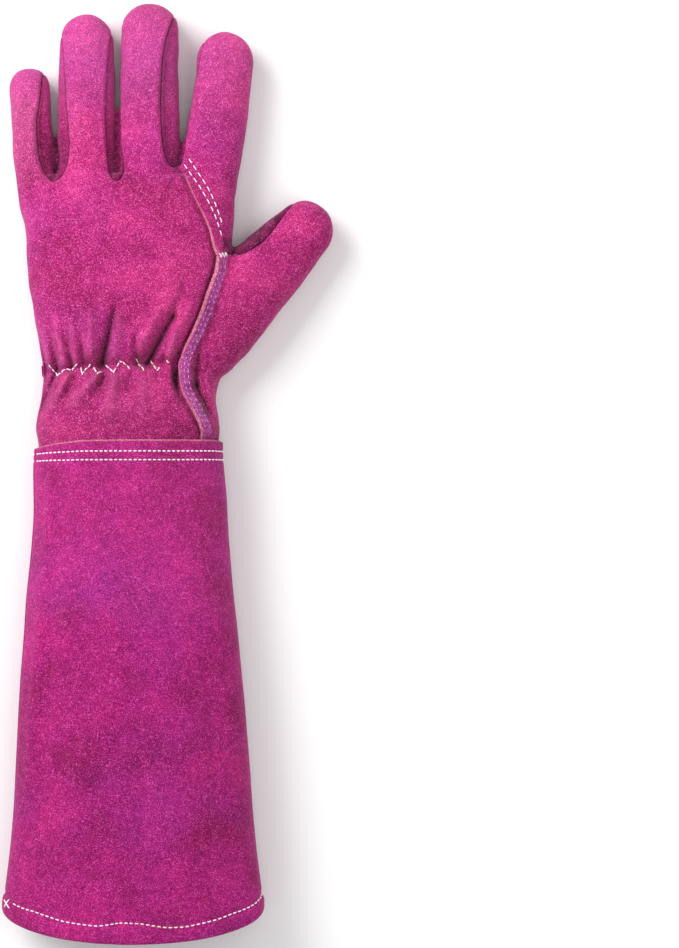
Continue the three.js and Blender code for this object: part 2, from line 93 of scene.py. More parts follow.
def hump(value, middle, width):
    """A rounded hump, 1 where the value is in the middle and near 0 at twice the width from it."""
    return np.exp(-(((value - middle) / width) ** 2))


def glide(places, values, at):
    """A smooth curve through values at places, read at other places."""
    places = np.asarray(places, float)
    values = np.asarray(values, float)
    slopes = np.gradient(values, places)
    i = np.clip(np.searchsorted(places, at) - 1, 0, len(places) - 2)
    step = places[i + 1] - places[i]
    t = np.clip((at - places[i]) / step, 0, 1)
    return ((2 * t**3 - 3 * t**2 + 1) * values[i] + (t**3 - 2 * t**2 + t) * step * slopes[i]
            + (3 * t**2 - 2 * t**3) * values[i + 1] + (t**3 - t**2) * step * slopes[i + 1])


def rounded(turn, floor, top):
    """The edge of a section at a turn: how far out, as a share of the half width, and how high."""
    c, s = np.cos(turn), np.sin(turn)
    power = np.where(s >= 0, 2 / CROWN, 2 / BELLY)
    out = np.sign(c) * np.abs(c) ** power
    up = np.abs(s) ** power
    middle = floor + (top - floor) * MIDDLE_HEIGHT
    pressed = np.maximum(floor, middle - (middle - floor) * PRESSED * up)
    return out, np.where(s >= 0, middle + (top - middle) * up, pressed)


def section_ring(centre, across, half, floor, top, sides):
    out, z = rounded(np.arange(sides) / sides * 2 * np.pi, floor, top)
    return np.column_stack([centre[0] + across[0] * out * half, centre[1] + across[1] * out * half, z])


def loft(rings):
    """Points and triangles of a closed body through rings of equally many points."""
    sides = len(rings[0])
    points = np.vstack(rings + [rings[0].mean(0, keepdims=True), rings[-1].mean(0, keepdims=True)])
    faces = []
    j = np.arange(sides)
    k = (j + 1) % sides
    for i in range(len(rings) - 1):
        a, b = i * sides, (i + 1) * sides
        faces += [np.column_stack([a + j, b + j, a + k]), np.column_stack([b + j, b + k, a + k])]
    last = (len(rings) - 1) * sides
    faces.append(np.column_stack([np.full(sides, len(points) - 2), j, k]))
    faces.append(np.column_stack([np.full(sides, len(points) - 1), last + k, last + j]))
    return points, np.vstack(faces)


# y, left, right and top of the hand's sections, and how far the underside is clear of the table
HAND_SECTIONS = np.array([
    (-14.0, -43.6, 42.2, 38.2, 1.6), (0.5, -43.8, 42.4, 38.4, 1.5), (4.5, -44.8, 43.2, 39.4, 0.4),
    (10.0, -44.3, 42.6, 40.4, 0.0), (19.8, -42.7, 41.2, 37.6, 0.0), (28.5, -41.4, 42.3, 33.6, 0.0),
    (35.3, -41.5, 43.3, 31.2, 0.0), (42.2, -42.7, 43.6, 32.4, 0.0), (53.3, -44.8, 44.3, 34.6, 0.0),
    (69.4, -47.6, 45.5, 36.0, 0.0), (90.5, -49.4, 48.2, 35.8, 0.0), (106.6, -50.4, 49.3, 34.0, 0.0),
    (115.3, -51.4, 50.4, 31.2, 1.0), (122.0, -51.9, 50.6, 28.2, 2.0), (126.6, -51.4, 50.0, 24.8, 3.0)])


def hand_body():
    rings = []
    for y in np.arange(HAND_SECTIONS[0, 0], HAND_SECTIONS[-1, 0] + 0.1, 3.7):
        left, right, top, lift = (glide(HAND_SECTIONS[:, 0], HAND_SECTIONS[:, i], y) for i in (1, 2, 3, 4))
        middle = ((left + right) / 2, y)
        rings.append(section_ring(middle, (1, 0), (right - left) / 2, max(lift, 0), top, HAND_SIDES))
    return loft(rings)


# Of each finger: root, middle and tip, half widths from the root to the tip, depth, and lift off the table
FINGERS = {
    "little": ((-40.6, 101.7), (-46.1, 140.0), (-48.4, 178.0), (10.8, 10.2, 9.5, 10.0), 20.5, 2.2),
    "ring": ((-19.8, 101.7), (-20.9, 152.0), (-20.5, 203.4), (14.2, 13.9, 13.4, 12.9), 23.5, 1.6),
    "middle": ((8.8, 101.7), (9.1, 155.0), (9.35, 208.9), (14.9, 14.7, 14.0, 13.8), 24.0, 1.4),
    "index": ((32.1, 104.0), (41.3, 149.0), (46.1, 195.2), (15.5, 14.4, 13.5, 13.7), 23.0, 2.3),
}
# Height of the fingers from the root to the tip, as shares of their depth
FINGER_CROWN = (1.12, 1.08, 1.03, 0.97, 0.88)


def finger_body(root, middle, tip, halves, depth, lift):
    root, middle, tip = (np.array(p, float) for p in (root, middle, tip))
    control = 2 * middle - root / 2 - tip / 2
    length = np.linalg.norm(tip - root)
    radius = halves[-1] * 1.02
    stations = [(share, 1.0) for share in np.linspace(0, 1 - radius / length, 20)]
    stations += [(1 - radius * (1 - np.sin(turn)) / length, np.cos(turn)) for turn in TIP_TURNS]
    rings = []
    for share, narrowing in stations:
        centre = root * (1 - share) ** 2 + control * 2 * share * (1 - share) + tip * share**2
        forward = (control - root) * (1 - share) + (tip - control) * share
        forward /= np.linalg.norm(forward)
        half = np.interp(share, np.linspace(0, 1, 4), halves) * narrowing
        top = np.interp(share, np.linspace(0, 1, 5), FINGER_CROWN) * depth
        core = lift + (top - lift) * MIDDLE_HEIGHT
        slim = narrowing * (0.8 + 0.2 * min(share / 0.14, 1))
        rings.append(section_ring(centre, (forward[1], -forward[0]), half * min(0.8 + share * 1.5, 1),
                                  core + (lift - core) * slim, core + (top - core) * slim, FINGER_SIDES))
    return loft(rings)


# Along and bow from the thumb's root, half width, top and lift off the table
THUMB_ROOT = np.array([31.5, 32.5])
THUMB_ANGLE = math.radians(51.6)
THUMB_STATIONS = np.array([
    (0.0, 0.0, 9.9, 20.3, 8.1), (5.8, 1.4, 14.0, 25.7, 3.2), (13.6, 3.5, 16.6, 27.5, 0.8),
    (34.4, 4.9, 18.5, 28.6, 0.5), (55.0, 4.7, 17.8, 27.0, 0.8), (70.3, 2.9, 16.1, 25.1, 1.4),
    (85.2, 1.4, 14.0, 22.7, 2.2)])


def thumb_body():
    forward = np.array([math.cos(THUMB_ANGLE), math.sin(THUMB_ANGLE)])
    sideways = np.array([-forward[1], forward[0]])
    along = np.linspace(0, THUMB_STATIONS[-1, 0], 24)
    bow, half, top, lift = (glide(THUMB_STATIONS[:, 0], THUMB_STATIONS[:, i], along) for i in (1, 2, 3, 4))
    centres = THUMB_ROOT + along[:, None] * forward + bow[:, None] * sideways
    headings = unit(np.gradient(centres, axis=0))
    rings = [section_ring(centre, (heading[1], -heading[0]), *sizes, THUMB_SIDES)
             for centre, heading, *sizes in zip(centres, headings, half, lift, top)]
    core = lift[-1] + (top[-1] - lift[-1]) * MIDDLE_HEIGHT
    for turn in TIP_TURNS:
        narrow = math.cos(turn)
        rings.append(section_ring(centres[-1] + headings[-1] * half[-1] * math.sin(turn),
                                  (headings[-1][1], -headings[-1][0]), half[-1] * narrow,
                                  core + (lift[-1] - core) * narrow, core + (top[-1] - core) * narrow,
                                  THUMB_SIDES))
    return loft(rings)


def neighbour_mean(points, edges):
    a, b = edges.T
    size = len(points)
    count = np.bincount(a, minlength=size) + np.bincount(b, minlength=size)
    total = [np.bincount(a, points[b, i], size) + np.bincount(b, points[a, i], size) for i in range(3)]
    return np.column_stack(total) / count[:, None]


def edges_of(faces):
    pairs = np.sort(np.vstack([faces[:, [0, 1]], faces[:, [1, 2]], faces[:, [2, 0]]]), axis=1)
    return np.unique(pairs, axis=0, return_counts=True)


def normals_of(points, faces):
    a, b, c = (points[faces[:, i], :3] for i in range(3))
    flat = np.cross(b - a, c - a)
    total = [sum(np.bincount(faces[:, k], flat[:, i], len(points)) for k in range(3)) for i in range(3)]
    return unit(np.column_stack(total))


def plain_mesh(name, points, faces):
    mesh = bpy.data.meshes.new(name)
    mesh.from_pydata(points.tolist(), [], faces.tolist())
    return mesh


def together(bodies):
    """The points and faces of several bodies as those of one."""
    starts = np.cumsum([0] + [len(points) for points, _ in bodies[:-1]])
    points = np.vstack([points for points, _ in bodies])
    return points, np.vstack([faces + start for (_, faces), start in zip(bodies, starts)])


def halved(quads):
    """Each four-sided face as two triangles."""
    return np.vstack([quads[:, [0, 1, 2]], quads[:, [0, 2, 3]]])


SKIN_MESH_SIZE = 1.0
SKIN_ROUNDS = 7


def hand_skin():
    """The hand, fingers and thumb grown into one skin, as the pieces of a last are smoothed into one."""
    points, faces = together([hand_body(), thumb_body()] + [finger_body(*row) for row in FINGERS.values()])
    last = placed("last", plain_mesh("last", points, faces))
    remesh = last.modifiers.new("skin", "REMESH")
    remesh.mode = "VOXEL"
    remesh.voxel_size = SKIN_MESH_SIZE
    skin = last.evaluated_get(bpy.context.evaluated_depsgraph_get()).to_mesh()
    points = np.empty(len(skin.vertices) * 3)
    skin.vertices.foreach_get("co", points)
    points = points.reshape(-1, 3)
    faces = halved(np.array([tuple(face.vertices) for face in skin.polygons]))
    bpy.data.objects.remove(last)
    edges, _ = edges_of(faces)
    for _ in range(SKIN_ROUNDS):
        points += 0.5 * (neighbour_mean(points, edges) - points)
    return points, faces


def from_table(at, table):
    """Reads a table of pairs of place and value between its places."""
    return np.interp(at, *np.transpose(table))


# Folds that the elastic draws, above and below it: both ends, width, and height at each end, with valleys
# below zero
FOLDS = [
    (-7.0, 62.0, -13.0, 36.6, 2.3, -2.6, -8.8), (-17.9, 60.2, -19.0, 41.0, 2.8, 1.2, 2.6),
    (-4.2, 60.0, -7.6, 40.0, 2.8, 1.2, 2.4), (27.0, 77.0, 20.6, 58.5, 2.4, -0.6, -3.2),
    (20.6, 58.5, 8.2, 36.6, 2.2, -3.4, -7.6), (29.5, 64.0, 17.0, 41.0, 3.2, 0.8, 2.4),
    (14.7, 62.0, 4.9, 43.5, 3.2, 0.8, 2.2), (2.6, 49.0, 3.4, 37.0, 1.6, -2.2, -5.2),
    (-23.5, 50.5, -22.0, 36.8, 1.6, -1.4, -4.6), (-31.6, 55.0, -27.4, 35.0, 1.8, -1.0, -4.4),
    (-37.8, 50.5, -34.6, 34.0, 1.8, -1.3, -4.4), (-43.0, 47.7, -39.6, 33.8, 1.7, -0.7, -2.6),
    (22.0, 52.0, 20.2, 40.0, 1.8, 0.3, 1.5), (-35.6, 56.5, -31.0, 36.8, 2.0, 1.0, 2.8),
    (-28.0, 56.7, -24.8, 37.2, 1.9, 0.9, 2.4), (-41.0, 50.0, -37.4, 35.0, 1.8, 0.9, 2.4),
    (21.0, 60.0, 11.0, 40.0, 2.0, -0.5, -1.4), (-35.0, 32.0, -43.6, 12.0, 1.9, -4.4, -2.2),
    (-29.2, 30.5, -37.5, 15.1, 2.4, 3.2, 2.0), (-25.4, 30.6, -31.8, 18.1, 2.0, -2.8, -0.9),
    (-15.2, 30.6, -27.2, 17.1, 3.2, 3.4, 1.7), (-12.0, 30.0, -18.4, 17.1, 2.2, -3.6, -1.1),
    (-7.0, 29.2, -9.5, 12.1, 4.0, 3.3, 1.5), (0.5, 31.0, -1.0, 21.9, 1.8, -2.4, -0.4),
    (6.2, 27.2, 4.8, 14.7, 4.6, 1.9, 0.9), (13.4, 32.5, 14.3, 22.9, 1.9, -2.4, -0.5),
    (17.4, 43.5, 15.8, 37.5, 1.5, -1.5, -3.2),
    (32.4, 46.0, 31.4, 26.0, 1.8, -1.4, -3.5), (31.4, 26.0, 36.5, 12.4, 1.8, -3.5, -3.0),
    (38.0, 26.0, 41.5, 9.0, 2.6, 1.0, 2.0), (34.5, 19.0, 40.0, 10.5, 1.6, -1.9, -0.8),
    (-40.5, 31.0, -46.0, 14.0, 3.2, -1.6, -1.2),
    (-41.0, 12.0, -36.0, 4.0, 3.0, 0.8, 0.2), (49.0, 92.5, 60.0, 98.5, 1.8, -2.2, -1.1),
    (-37.0, 118.0, -35.0, 108.0, 3.0, -1.2, 0.0), (-6.0, 119.0, -5.5, 106.0, 3.2, -1.4, 0.0),
    (21.0, 124.0, 18.5, 112.0, 3.0, -1.1, 0.0),
]
ELASTIC = ((-46.0, 31.8), (-38.2, 33.2), (-20.0, 34.0), (0.0, 35.4), (20.0, 37.0), (27.0, 37.0))


def fold_heights(plan):
    relief = np.zeros(len(plan))
    for x0, y0, x1, y1, width, start, end in FOLDS:
        way = np.array([x1 - x0, y1 - y0])
        share = ((plan - (x0, y0)) @ way) / (way @ way)
        held = np.clip(share, 0, 1)
        gap = np.linalg.norm(plan - (np.array([x0, y0]) + held[:, None] * way), axis=1)
        power = 1.25 if end < 0 else 2.0
        relief += (start + (end - start) * held) * np.exp(-((gap / (width * (0.55 + 0.45 * held))) ** power))
    return relief


def fold_relief(plan):
    """The folds, with the fine ripples and the hollow right at the elastic."""
    line = from_table(plan[:, 0], ELASTIC)
    held = smooth_step(26, 20, plan[:, 0])
    ripples = np.cos(plan[:, 0] * 1.1 + 1.5 * np.sin(plan[:, 0] * 0.31) + 0.12 * plan[:, 1])
    ripples *= 0.55 * np.exp(-np.abs(plan[:, 1] - line) / 6)
    hollow = 2.4 * hump(plan[:, 1], line, 2.6)
    return fold_heights(plan) + held * (ripples - hollow)


def slow_waves(points, size, seed):
    """A soft unevenness, as of hide that was never quite flat. size is the distance between its hollows."""
    rng = np.random.default_rng(seed)
    total = np.zeros(len(points))
    for _ in range(7):
        way = rng.normal(size=3)
        way /= np.linalg.norm(way)
        total += np.sin(points @ way * (2 * np.pi / (size * rng.uniform(0.7, 1.4))) + rng.uniform(0, 6.28))
    return total / 7


skin_points, skin_faces = hand_skin()
skin_normals = normals_of(skin_points, skin_faces)
facing_up = smooth_step(0.1, 0.5, skin_normals[:, 2]) * smooth_step(8, 14, skin_points[:, 2])
skin_points[:, 2] += facing_up * fold_relief(skin_points[:, :2])
off_table = smooth_step(0.5, 3.0, skin_points[:, 2])
uneven = 0.7 * slow_waves(skin_points, 34, 3) + 0.3 * slow_waves(skin_points, 12, 4)
skin_points += skin_normals * (off_table * uneven)[:, None]
skin_points[:, 2] = np.maximum(skin_points[:, 2], 0)
skin_normals = normals_of(skin_points, skin_faces)
skin = (np.hstack([skin_points, skin_normals]), skin_faces)


# Seams of the hand
# The lines that the panels are sewn on, in the glove's plan. Turned seams pull the suede in, and lapped
# seams leave a raw edge on top.
def eased(line, rounds=3):
    """A line with its corners cut off, a few times over."""
    line = np.asarray(line, float)
    for _ in range(rounds):
        a, b = line[:-1], line[1:]
        cut = np.empty((2 * len(a), 2))
        cut[0::2] = a * 0.75 + b * 0.25
        cut[1::2] = a * 0.25 + b * 0.75
        line = np.vstack([line[:1], cut, line[-1:]])
    return line


LITTLE_RIGHT = [(-40.1, 190.0), (-40.1, 181.3), (-41.3, 175.5), (-42.5, 161.2), (-44.4, 152.2),
                (-43.9, 142.6), (-42.9, 133.6), (-40.5, 127.8), (-37.2, 123.5)]
RING_LEFT = [(-36.7, 123.2), (-33.4, 125.0), (-30.5, 130.2), (-29.6, 135.9), (-29.4, 142.6), (-29.9, 150.3),
             (-30.8, 158.4), (-31.5, 174.1), (-32.4, 188.3), (-33.4, 195.6), (-34.2, 215.0)]
RING_RIGHT = [(-6.6, 215.0), (-7.6, 198.4), (-9.1, 192.7), (-10.0, 181.3), (-11.0, 160.3), (-11.0, 147.9),
              (-10.5, 138.3), (-9.8, 129.7), (-8.6, 125.5), (-6.2, 123.4)]
MIDDLE_LEFT = [(-3.8, 125.5), (-3.1, 129.7), (-3.9, 135.5), (-4.6, 142.6), (-5.0, 157.4), (-5.0, 171.7),
               (-4.6, 190.8), (-3.4, 202.2), (-3.4, 220.0)]
MIDDLE_RIGHT = [(21.9, 220.0), (21.9, 205.1), (20.7, 200.6), (18.1, 192.7), (16.2, 184.1), (15.3, 171.7),
                (15.0, 158.4), (15.5, 147.9), (16.2, 140.7), (17.6, 134.4), (19.6, 131.0), (21.9, 130.0)]
INDEX_LEFT = [(23.8, 131.6), (25.3, 135.5), (25.8, 140.2), (27.2, 147.9), (28.6, 156.5), (30.1, 166.0),
              (32.0, 175.5), (33.4, 185.1), (37.2, 195.6), (38.5, 215.0)]
SLITS = {
    "fourchette_little_ring": eased(LITTLE_RIGHT + RING_LEFT),
    "fourchette_ring_middle": eased(RING_RIGHT + MIDDLE_LEFT),
    "fourchette_middle_index": eased(MIDDLE_RIGHT + INDEX_LEFT),
}
BAR_TACK = (42.0, 88.0)
INDEX_LAP = [(25.0, 225.0), (23.6, 140.0), (23.6, 134.0), (24.3, 131.0), (27.2, 124.0), (31.5, 114.5),
             (35.8, 106.4), (38.8, 99.0), (40.0, 92.5), BAR_TACK]
THUMB_LAP = [BAR_TACK, (41.6, 84.4), (40.5, 79.2), (37.7, 72.0), (34.2, 60.7), (29.6, 50.4), (25.8, 43.1),
             (23.6, 35.9), (23.8, 28.6), (25.0, 22.4), (28.5, 16.2), (32.1, 10.0), (34.2, 4.9), (34.8, 0.7),
             (35.8, -14.3)]
THUMB_TOP = [(97.0, 132.0), (82.5, 118.5), (76.3, 111.2), (72.0, 106.2), (68.2, 100.6), (64.4, 95.9),
             (60.8, 92.9), (56.5, 90.5), (52.5, 88.8), (48.7, 88.2), (45.8, 88.2), BAR_TACK]
THUMB_UNDER = [(94.0, 118.0), (94.0, 111.6), (92.1, 101.1), (87.3, 95.4), (83.5, 89.2), (79.7, 84.9),
               (71.1, 73.0), (64.4, 64.4), (60.3, 56.3), (52.5, 45.3), (47.7, 39.1), (43.9, 32.9),
               (39.1, 24.8), (36.3, 16.7), (33.4, 0.0), (32.9, -16.7)]
LAP_LINE = np.vstack([eased(INDEX_LAP, 2), eased(THUMB_LAP, 2)[1:]])
THUMB_LINE = np.vstack([eased(THUMB_TOP, 2), eased(THUMB_LAP, 2)[1:]])
UNDER_LINE = eased(THUMB_UNDER, 2)
SET_IN = [(-35.3, 122.2), (-30.5, 119.0), (-25.3, 116.0), (-17.9, 114.4), (-11.0, 116.4), (-6.0, 118.7),
          (-1.5, 117.4), (5.3, 115.9), (12.0, 115.2), (17.9, 115.6), (22.3, 118.0), (24.2, 122.0)]
FRONTS_LINE = eased([(-36.5, 225.0), (-36.7, 160.0), (-34.6, 142.0), (-33.8, 130.0)] + SET_IN
                    + [(24.2, 131.0), (24.6, 140.0), (26.0, 200.0), (27.0, 225.0)], 2)
# Heights of the seams round the fingers and the thumb, and the height above which a point is on the back
FINGER_SEAM_HEIGHT = 7.0
THUMB_SEAM_HEIGHT = 9.0
ON_BACK = 12.0


def beside(line, points):
    """Distance in plan from an endless line, positive on the left of its travel."""
    plan = points[:, :2]
    nearest = np.full(len(plan), np.inf)
    side = np.ones(len(plan))
    last = len(line) - 2
    for i, (a, b) in enumerate(zip(line[:-1], line[1:])):
        way = b - a
        share = ((plan - a) @ way) / (way @ way)
        share = np.clip(share, -np.inf if i == 0 else 0, np.inf if i == last else 1)
        away = plan - (a + share[:, None] * way)
        gap = np.linalg.norm(away, axis=1)
        closer = gap < nearest
        nearest[closer] = gap[closer]
        side[closer] = np.sign(way[0] * away[closer, 1] - way[1] * away[closer, 0])
    return nearest * np.where(side == 0, 1, side)


def trim(sheet, level):
    """Cuts a sheet of triangles where level(points) is zero, and keeps the side where it is negative."""
    points, faces = sheet[0].copy(), sheet[1]
    value = level(points)
    edges, _ = edges_of(faces)
    a, b = edges.T
    crossing = value[a] * value[b] < 0
    a, b = a[crossing], b[crossing]
    share = value[a] / (value[a] - value[b])
    place = points[a] + (points[b] - points[a]) * share[:, None]
    for end, near in ((a, share < 0.3), (b, share > 0.7)):
        points[end[near]] = place[near]
        value[end[near]] = 0
    crossing = value[edges[:, 0]] * value[edges[:, 1]] < 0
    a, b = edges[crossing].T
    share = value[a] / (value[a] - value[b])
    cuts = points[a] + (points[b] - points[a]) * share[:, None]
    keys = a.astype(np.int64) * len(points) + b
    order = np.argsort(keys)

    def cut(out, kept):
        low, high = np.minimum(out, kept), np.maximum(out, kept)
        found = np.searchsorted(keys, low.astype(np.int64) * len(points) + high, sorter=order)
        found = np.append(order, 0)[np.minimum(found, len(order))]
        return np.where(value[kept] == 0, kept, len(points) + found)

    out = value[faces] > 0
    count = out.sum(1)
    pieces = [faces[(count == 0) & (value[faces] < 0).any(1)]]
    for number in (1, 2):
        mixed = faces[count == number]
        odd = (out[count == number] == (number == 1)).argmax(1)
        first, second, third = (mixed[np.arange(len(mixed)), (odd + i) % 3] for i in range(3))
        if number == 1:
            near, far = cut(first, second), cut(first, third)
            pieces += [np.column_stack([second, third, far]), np.column_stack([second, far, near])]
        else:
            pieces.append(np.column_stack([first, cut(second, first), cut(third, first)]))
    faces = np.vstack(pieces)
    whole = (faces[:, 0] != faces[:, 1]) & (faces[:, 1] != faces[:, 2]) & (faces[:, 2] != faces[:, 0])
    faces = faces[whole]
    used, faces = np.unique(faces, return_inverse=True)
    return np.vstack([points, cuts])[used], faces.reshape(-1, 3)


def edge_points(sheet):
    edges, count = edges_of(sheet[1])
    return np.unique(edges[count == 1])


def gap_to(points, others):
    """Distance from each point to the nearest of the others."""
    if not len(others):
        return np.full(len(points), np.inf)
    tree = KDTree(len(others))
    for i, p in enumerate(others):
        tree.insert(p, i)
    tree.balance()
    return np.array([tree.find(p)[2] for p in points])


# How far in from its edge a turned seam rolls, and how deep. The thickness of the suede. How far it runs on
# under a lap, how high the lap is raised, and how far its raw edge slants, with its shares along the glove.
SEAM_ROLL = 2.3
SEAM_DEPTH = 1.7
WALL = 1.4
UNDER_LAP = 9.0
RAISED = 1.25
RAW_SLANT = 1.1
RAW_SHARES = ((0, 0.7), (12, 0.6), (18, 0.3), (30, 0.25), (40, 0.4), (55, 0.8), (86, 0.9), (92, 0.5),
              (110, 0.25), (131, 0.15))


def roll_seams(sheet, turned, ridge=0.5, scoop=0.0):
    """Turns the sheet in along its sewn edges, behind a low ridge. scoop is how far its middle sinks."""
    points, faces = sheet[0].copy(), sheet[1]
    rim = edge_points(sheet)
    sewn = points[rim[turned(points[rim])], :3]
    gap = gap_to(points[:, :3], sewn)
    near = np.clip(1 - gap / SEAM_ROLL, 0, 1)
    clear = smooth_step(0.5, 3.0, points[:, 2])
    level = smooth_step(0.1, 0.7, np.abs(points[:, 5]))
    height = clear * level * ridge * hump(gap, SEAM_ROLL, 1.3)
    height -= SEAM_DEPTH * (0.3 + 0.7 * level) * (1 - np.sqrt(1 - near**2))
    height -= scoop * smooth_step(0.35, 0.9, points[:, 5]) * smooth_step(0, 2.5, gap)
    points[:, :3] += points[:, 3:6] * height[:, None]
    return points, faces


def nowhere(points):
    return np.zeros(len(points), bool)


def everywhere(points):
    return np.ones(len(points), bool)


def dressed(name, mesh, materials, index, smooth_faces):
    """Adds a wall to the scene. index is each face's material. Its first smooth_faces faces are smooth."""
    for material in materials:
        mesh.materials.append(material)
    mesh.polygons.foreach_set("material_index", index)
    mesh.polygons.foreach_set("use_smooth", np.arange(len(index)) < smooth_faces)
    return placed(name, mesh)


def walled(name, sheet, raw, materials, band=None, painted_light=None):
    """Makes a sheet a wall of suede.

    Its rim takes the second material where the edge is raw, and its band takes the third. The last argument
    is the painted light and shade at each point of the sheet: a painted highlight above zero, painted shade
    below.
    """
    points, faces = sheet
    outer = points[:, :3]
    inner = outer - normals_of(points, faces) * WALL
    inner[:, 2] = np.maximum(inner[:, 2], np.minimum(outer[:, 2], 0.3))
    edges, count = edges_of(faces)
    rim = {tuple(edge) for edge in edges[count == 1].tolist()}
    ways = np.vstack([faces[:, [0, 1]], faces[:, [1, 2]], faces[:, [2, 0]]])
    border = np.array([way for way in ways.tolist() if tuple(sorted(way)) in rim])
    size = len(outer)
    a, b = border.T
    is_raw = raw(outer)
    away = unit(np.cross(outer[b] - outer[a], normals_of(points, faces)[a]))
    inner[a] += (RAW_SLANT * is_raw[a] * from_table(outer[a, 1], RAW_SHARES))[:, None] * away
    sides = np.vstack([np.column_stack([b, a, a + size]), np.column_stack([b, a + size, b + size])])
    marks = np.tile(is_raw[a] & is_raw[b], 2)
    mesh = plain_mesh(name, np.vstack([outer, inner]) * 0.001 + ORIGIN * 0.001,
                      np.vstack([faces, faces[:, ::-1] + size, sides]))
    if painted_light is not None:
        mesh.attributes.new("painted_light", "FLOAT", "POINT").data.foreach_set("value", np.tile(painted_light, 2))
    index = np.zeros(len(mesh.polygons), dtype=np.int32)
    index[-len(sides):] = marks
    if band is not None:
        index[:len(faces)] = 2 * band(outer[faces].mean(1))
    return dressed(name, mesh, materials, index, 2 * len(faces))


# Suede
# Cow split dyed magenta, brushed to a short nap on both sides. The nap lies in small tufts that catch the
# light, the dye takes unevenly, and a cut edge shows the paler middle of the hide.
def linear(code):
    channels = [int(code[i:i + 2], 16) / 255 for i in (1, 3, 5)]
    return tuple(c / 12.92 if c <= 0.04045 else ((c + 0.055) / 1.055) ** 2.4 for c in channels) + (1.0,)


def add_node(tree, kind, settings=None, links=None):
    """Adds a node with its settings. links maps an input to another node's output."""
    node = tree.nodes.new(kind)
    for name, value in (settings or {}).items():
        if isinstance(name, str) and hasattr(node, name):
            setattr(node, name, value)
        else:
            node.inputs[name].default_value = value
    for name, output in (links or {}).items():
        tree.links.new(output, node.inputs[name])
    return node


def stops(ramp, places):
    """Sets a colour ramp's stops from pairs of place and colour."""
    elements = ramp.color_ramp.elements
    while len(elements) < len(places):
        elements.new(0.5)
    for element, (place, colour) in zip(elements, places):
        element.position = place
        element.color = colour


def noise(tree, place, scale, detail, roughness=0.5):
    settings = {"Scale": scale, "Detail": detail, "Roughness": roughness}
    return add_node(tree, "ShaderNodeTexNoise", settings, {"Vector": place}).outputs["Fac"]


def remapped(tree, value, low, high, to_low=0.0, to_high=1.0):
    """A value brought from one range to another, and held at its ends."""
    settings = {"From Min": low, "From Max": high, "To Min": to_low, "To Max": to_high}
    return add_node(tree, "ShaderNodeMapRange", settings, {"Value": value}).outputs["Result"]


def worked(tree, operation, first, second, **settings):
    """The sum or product of two values."""
    node = add_node(tree, "ShaderNodeMath", {"operation": operation, **settings}, {0: first, 1: second})
    return node.outputs["Value"]


def tinged(tree, colour, code, share):
    """A colour with a share of another colour in it."""
    settings = {"data_type": "RGBA", 7: linear(code)}
    return add_node(tree, "ShaderNodeMix", settings, {"Factor": share, 6: colour}).outputs[2]


def new_material(name):
    """A new material, its nodes, its shader, and the place on the piece."""
    material = bpy.data.materials.new(name)
    material.use_nodes = True
    tree = material.node_tree
    place = add_node(tree, "ShaderNodeTexCoord").outputs["Object"]
    return material, tree, tree.nodes["Principled BSDF"], place


def surface(tree, shader, colour, height, strength, distance, settings):
    """Gives the shader its colour, its fine relief and the rest of its settings."""
    bump = add_node(tree, "ShaderNodeBump", {"Strength": strength, "Distance": distance}, {"Height": height})
    tree.links.new(colour, shader.inputs["Base Color"])
    tree.links.new(bump.outputs["Normal"], shader.inputs["Normal"])
    for name, value in settings.items():
        shader.inputs[name].default_value = value


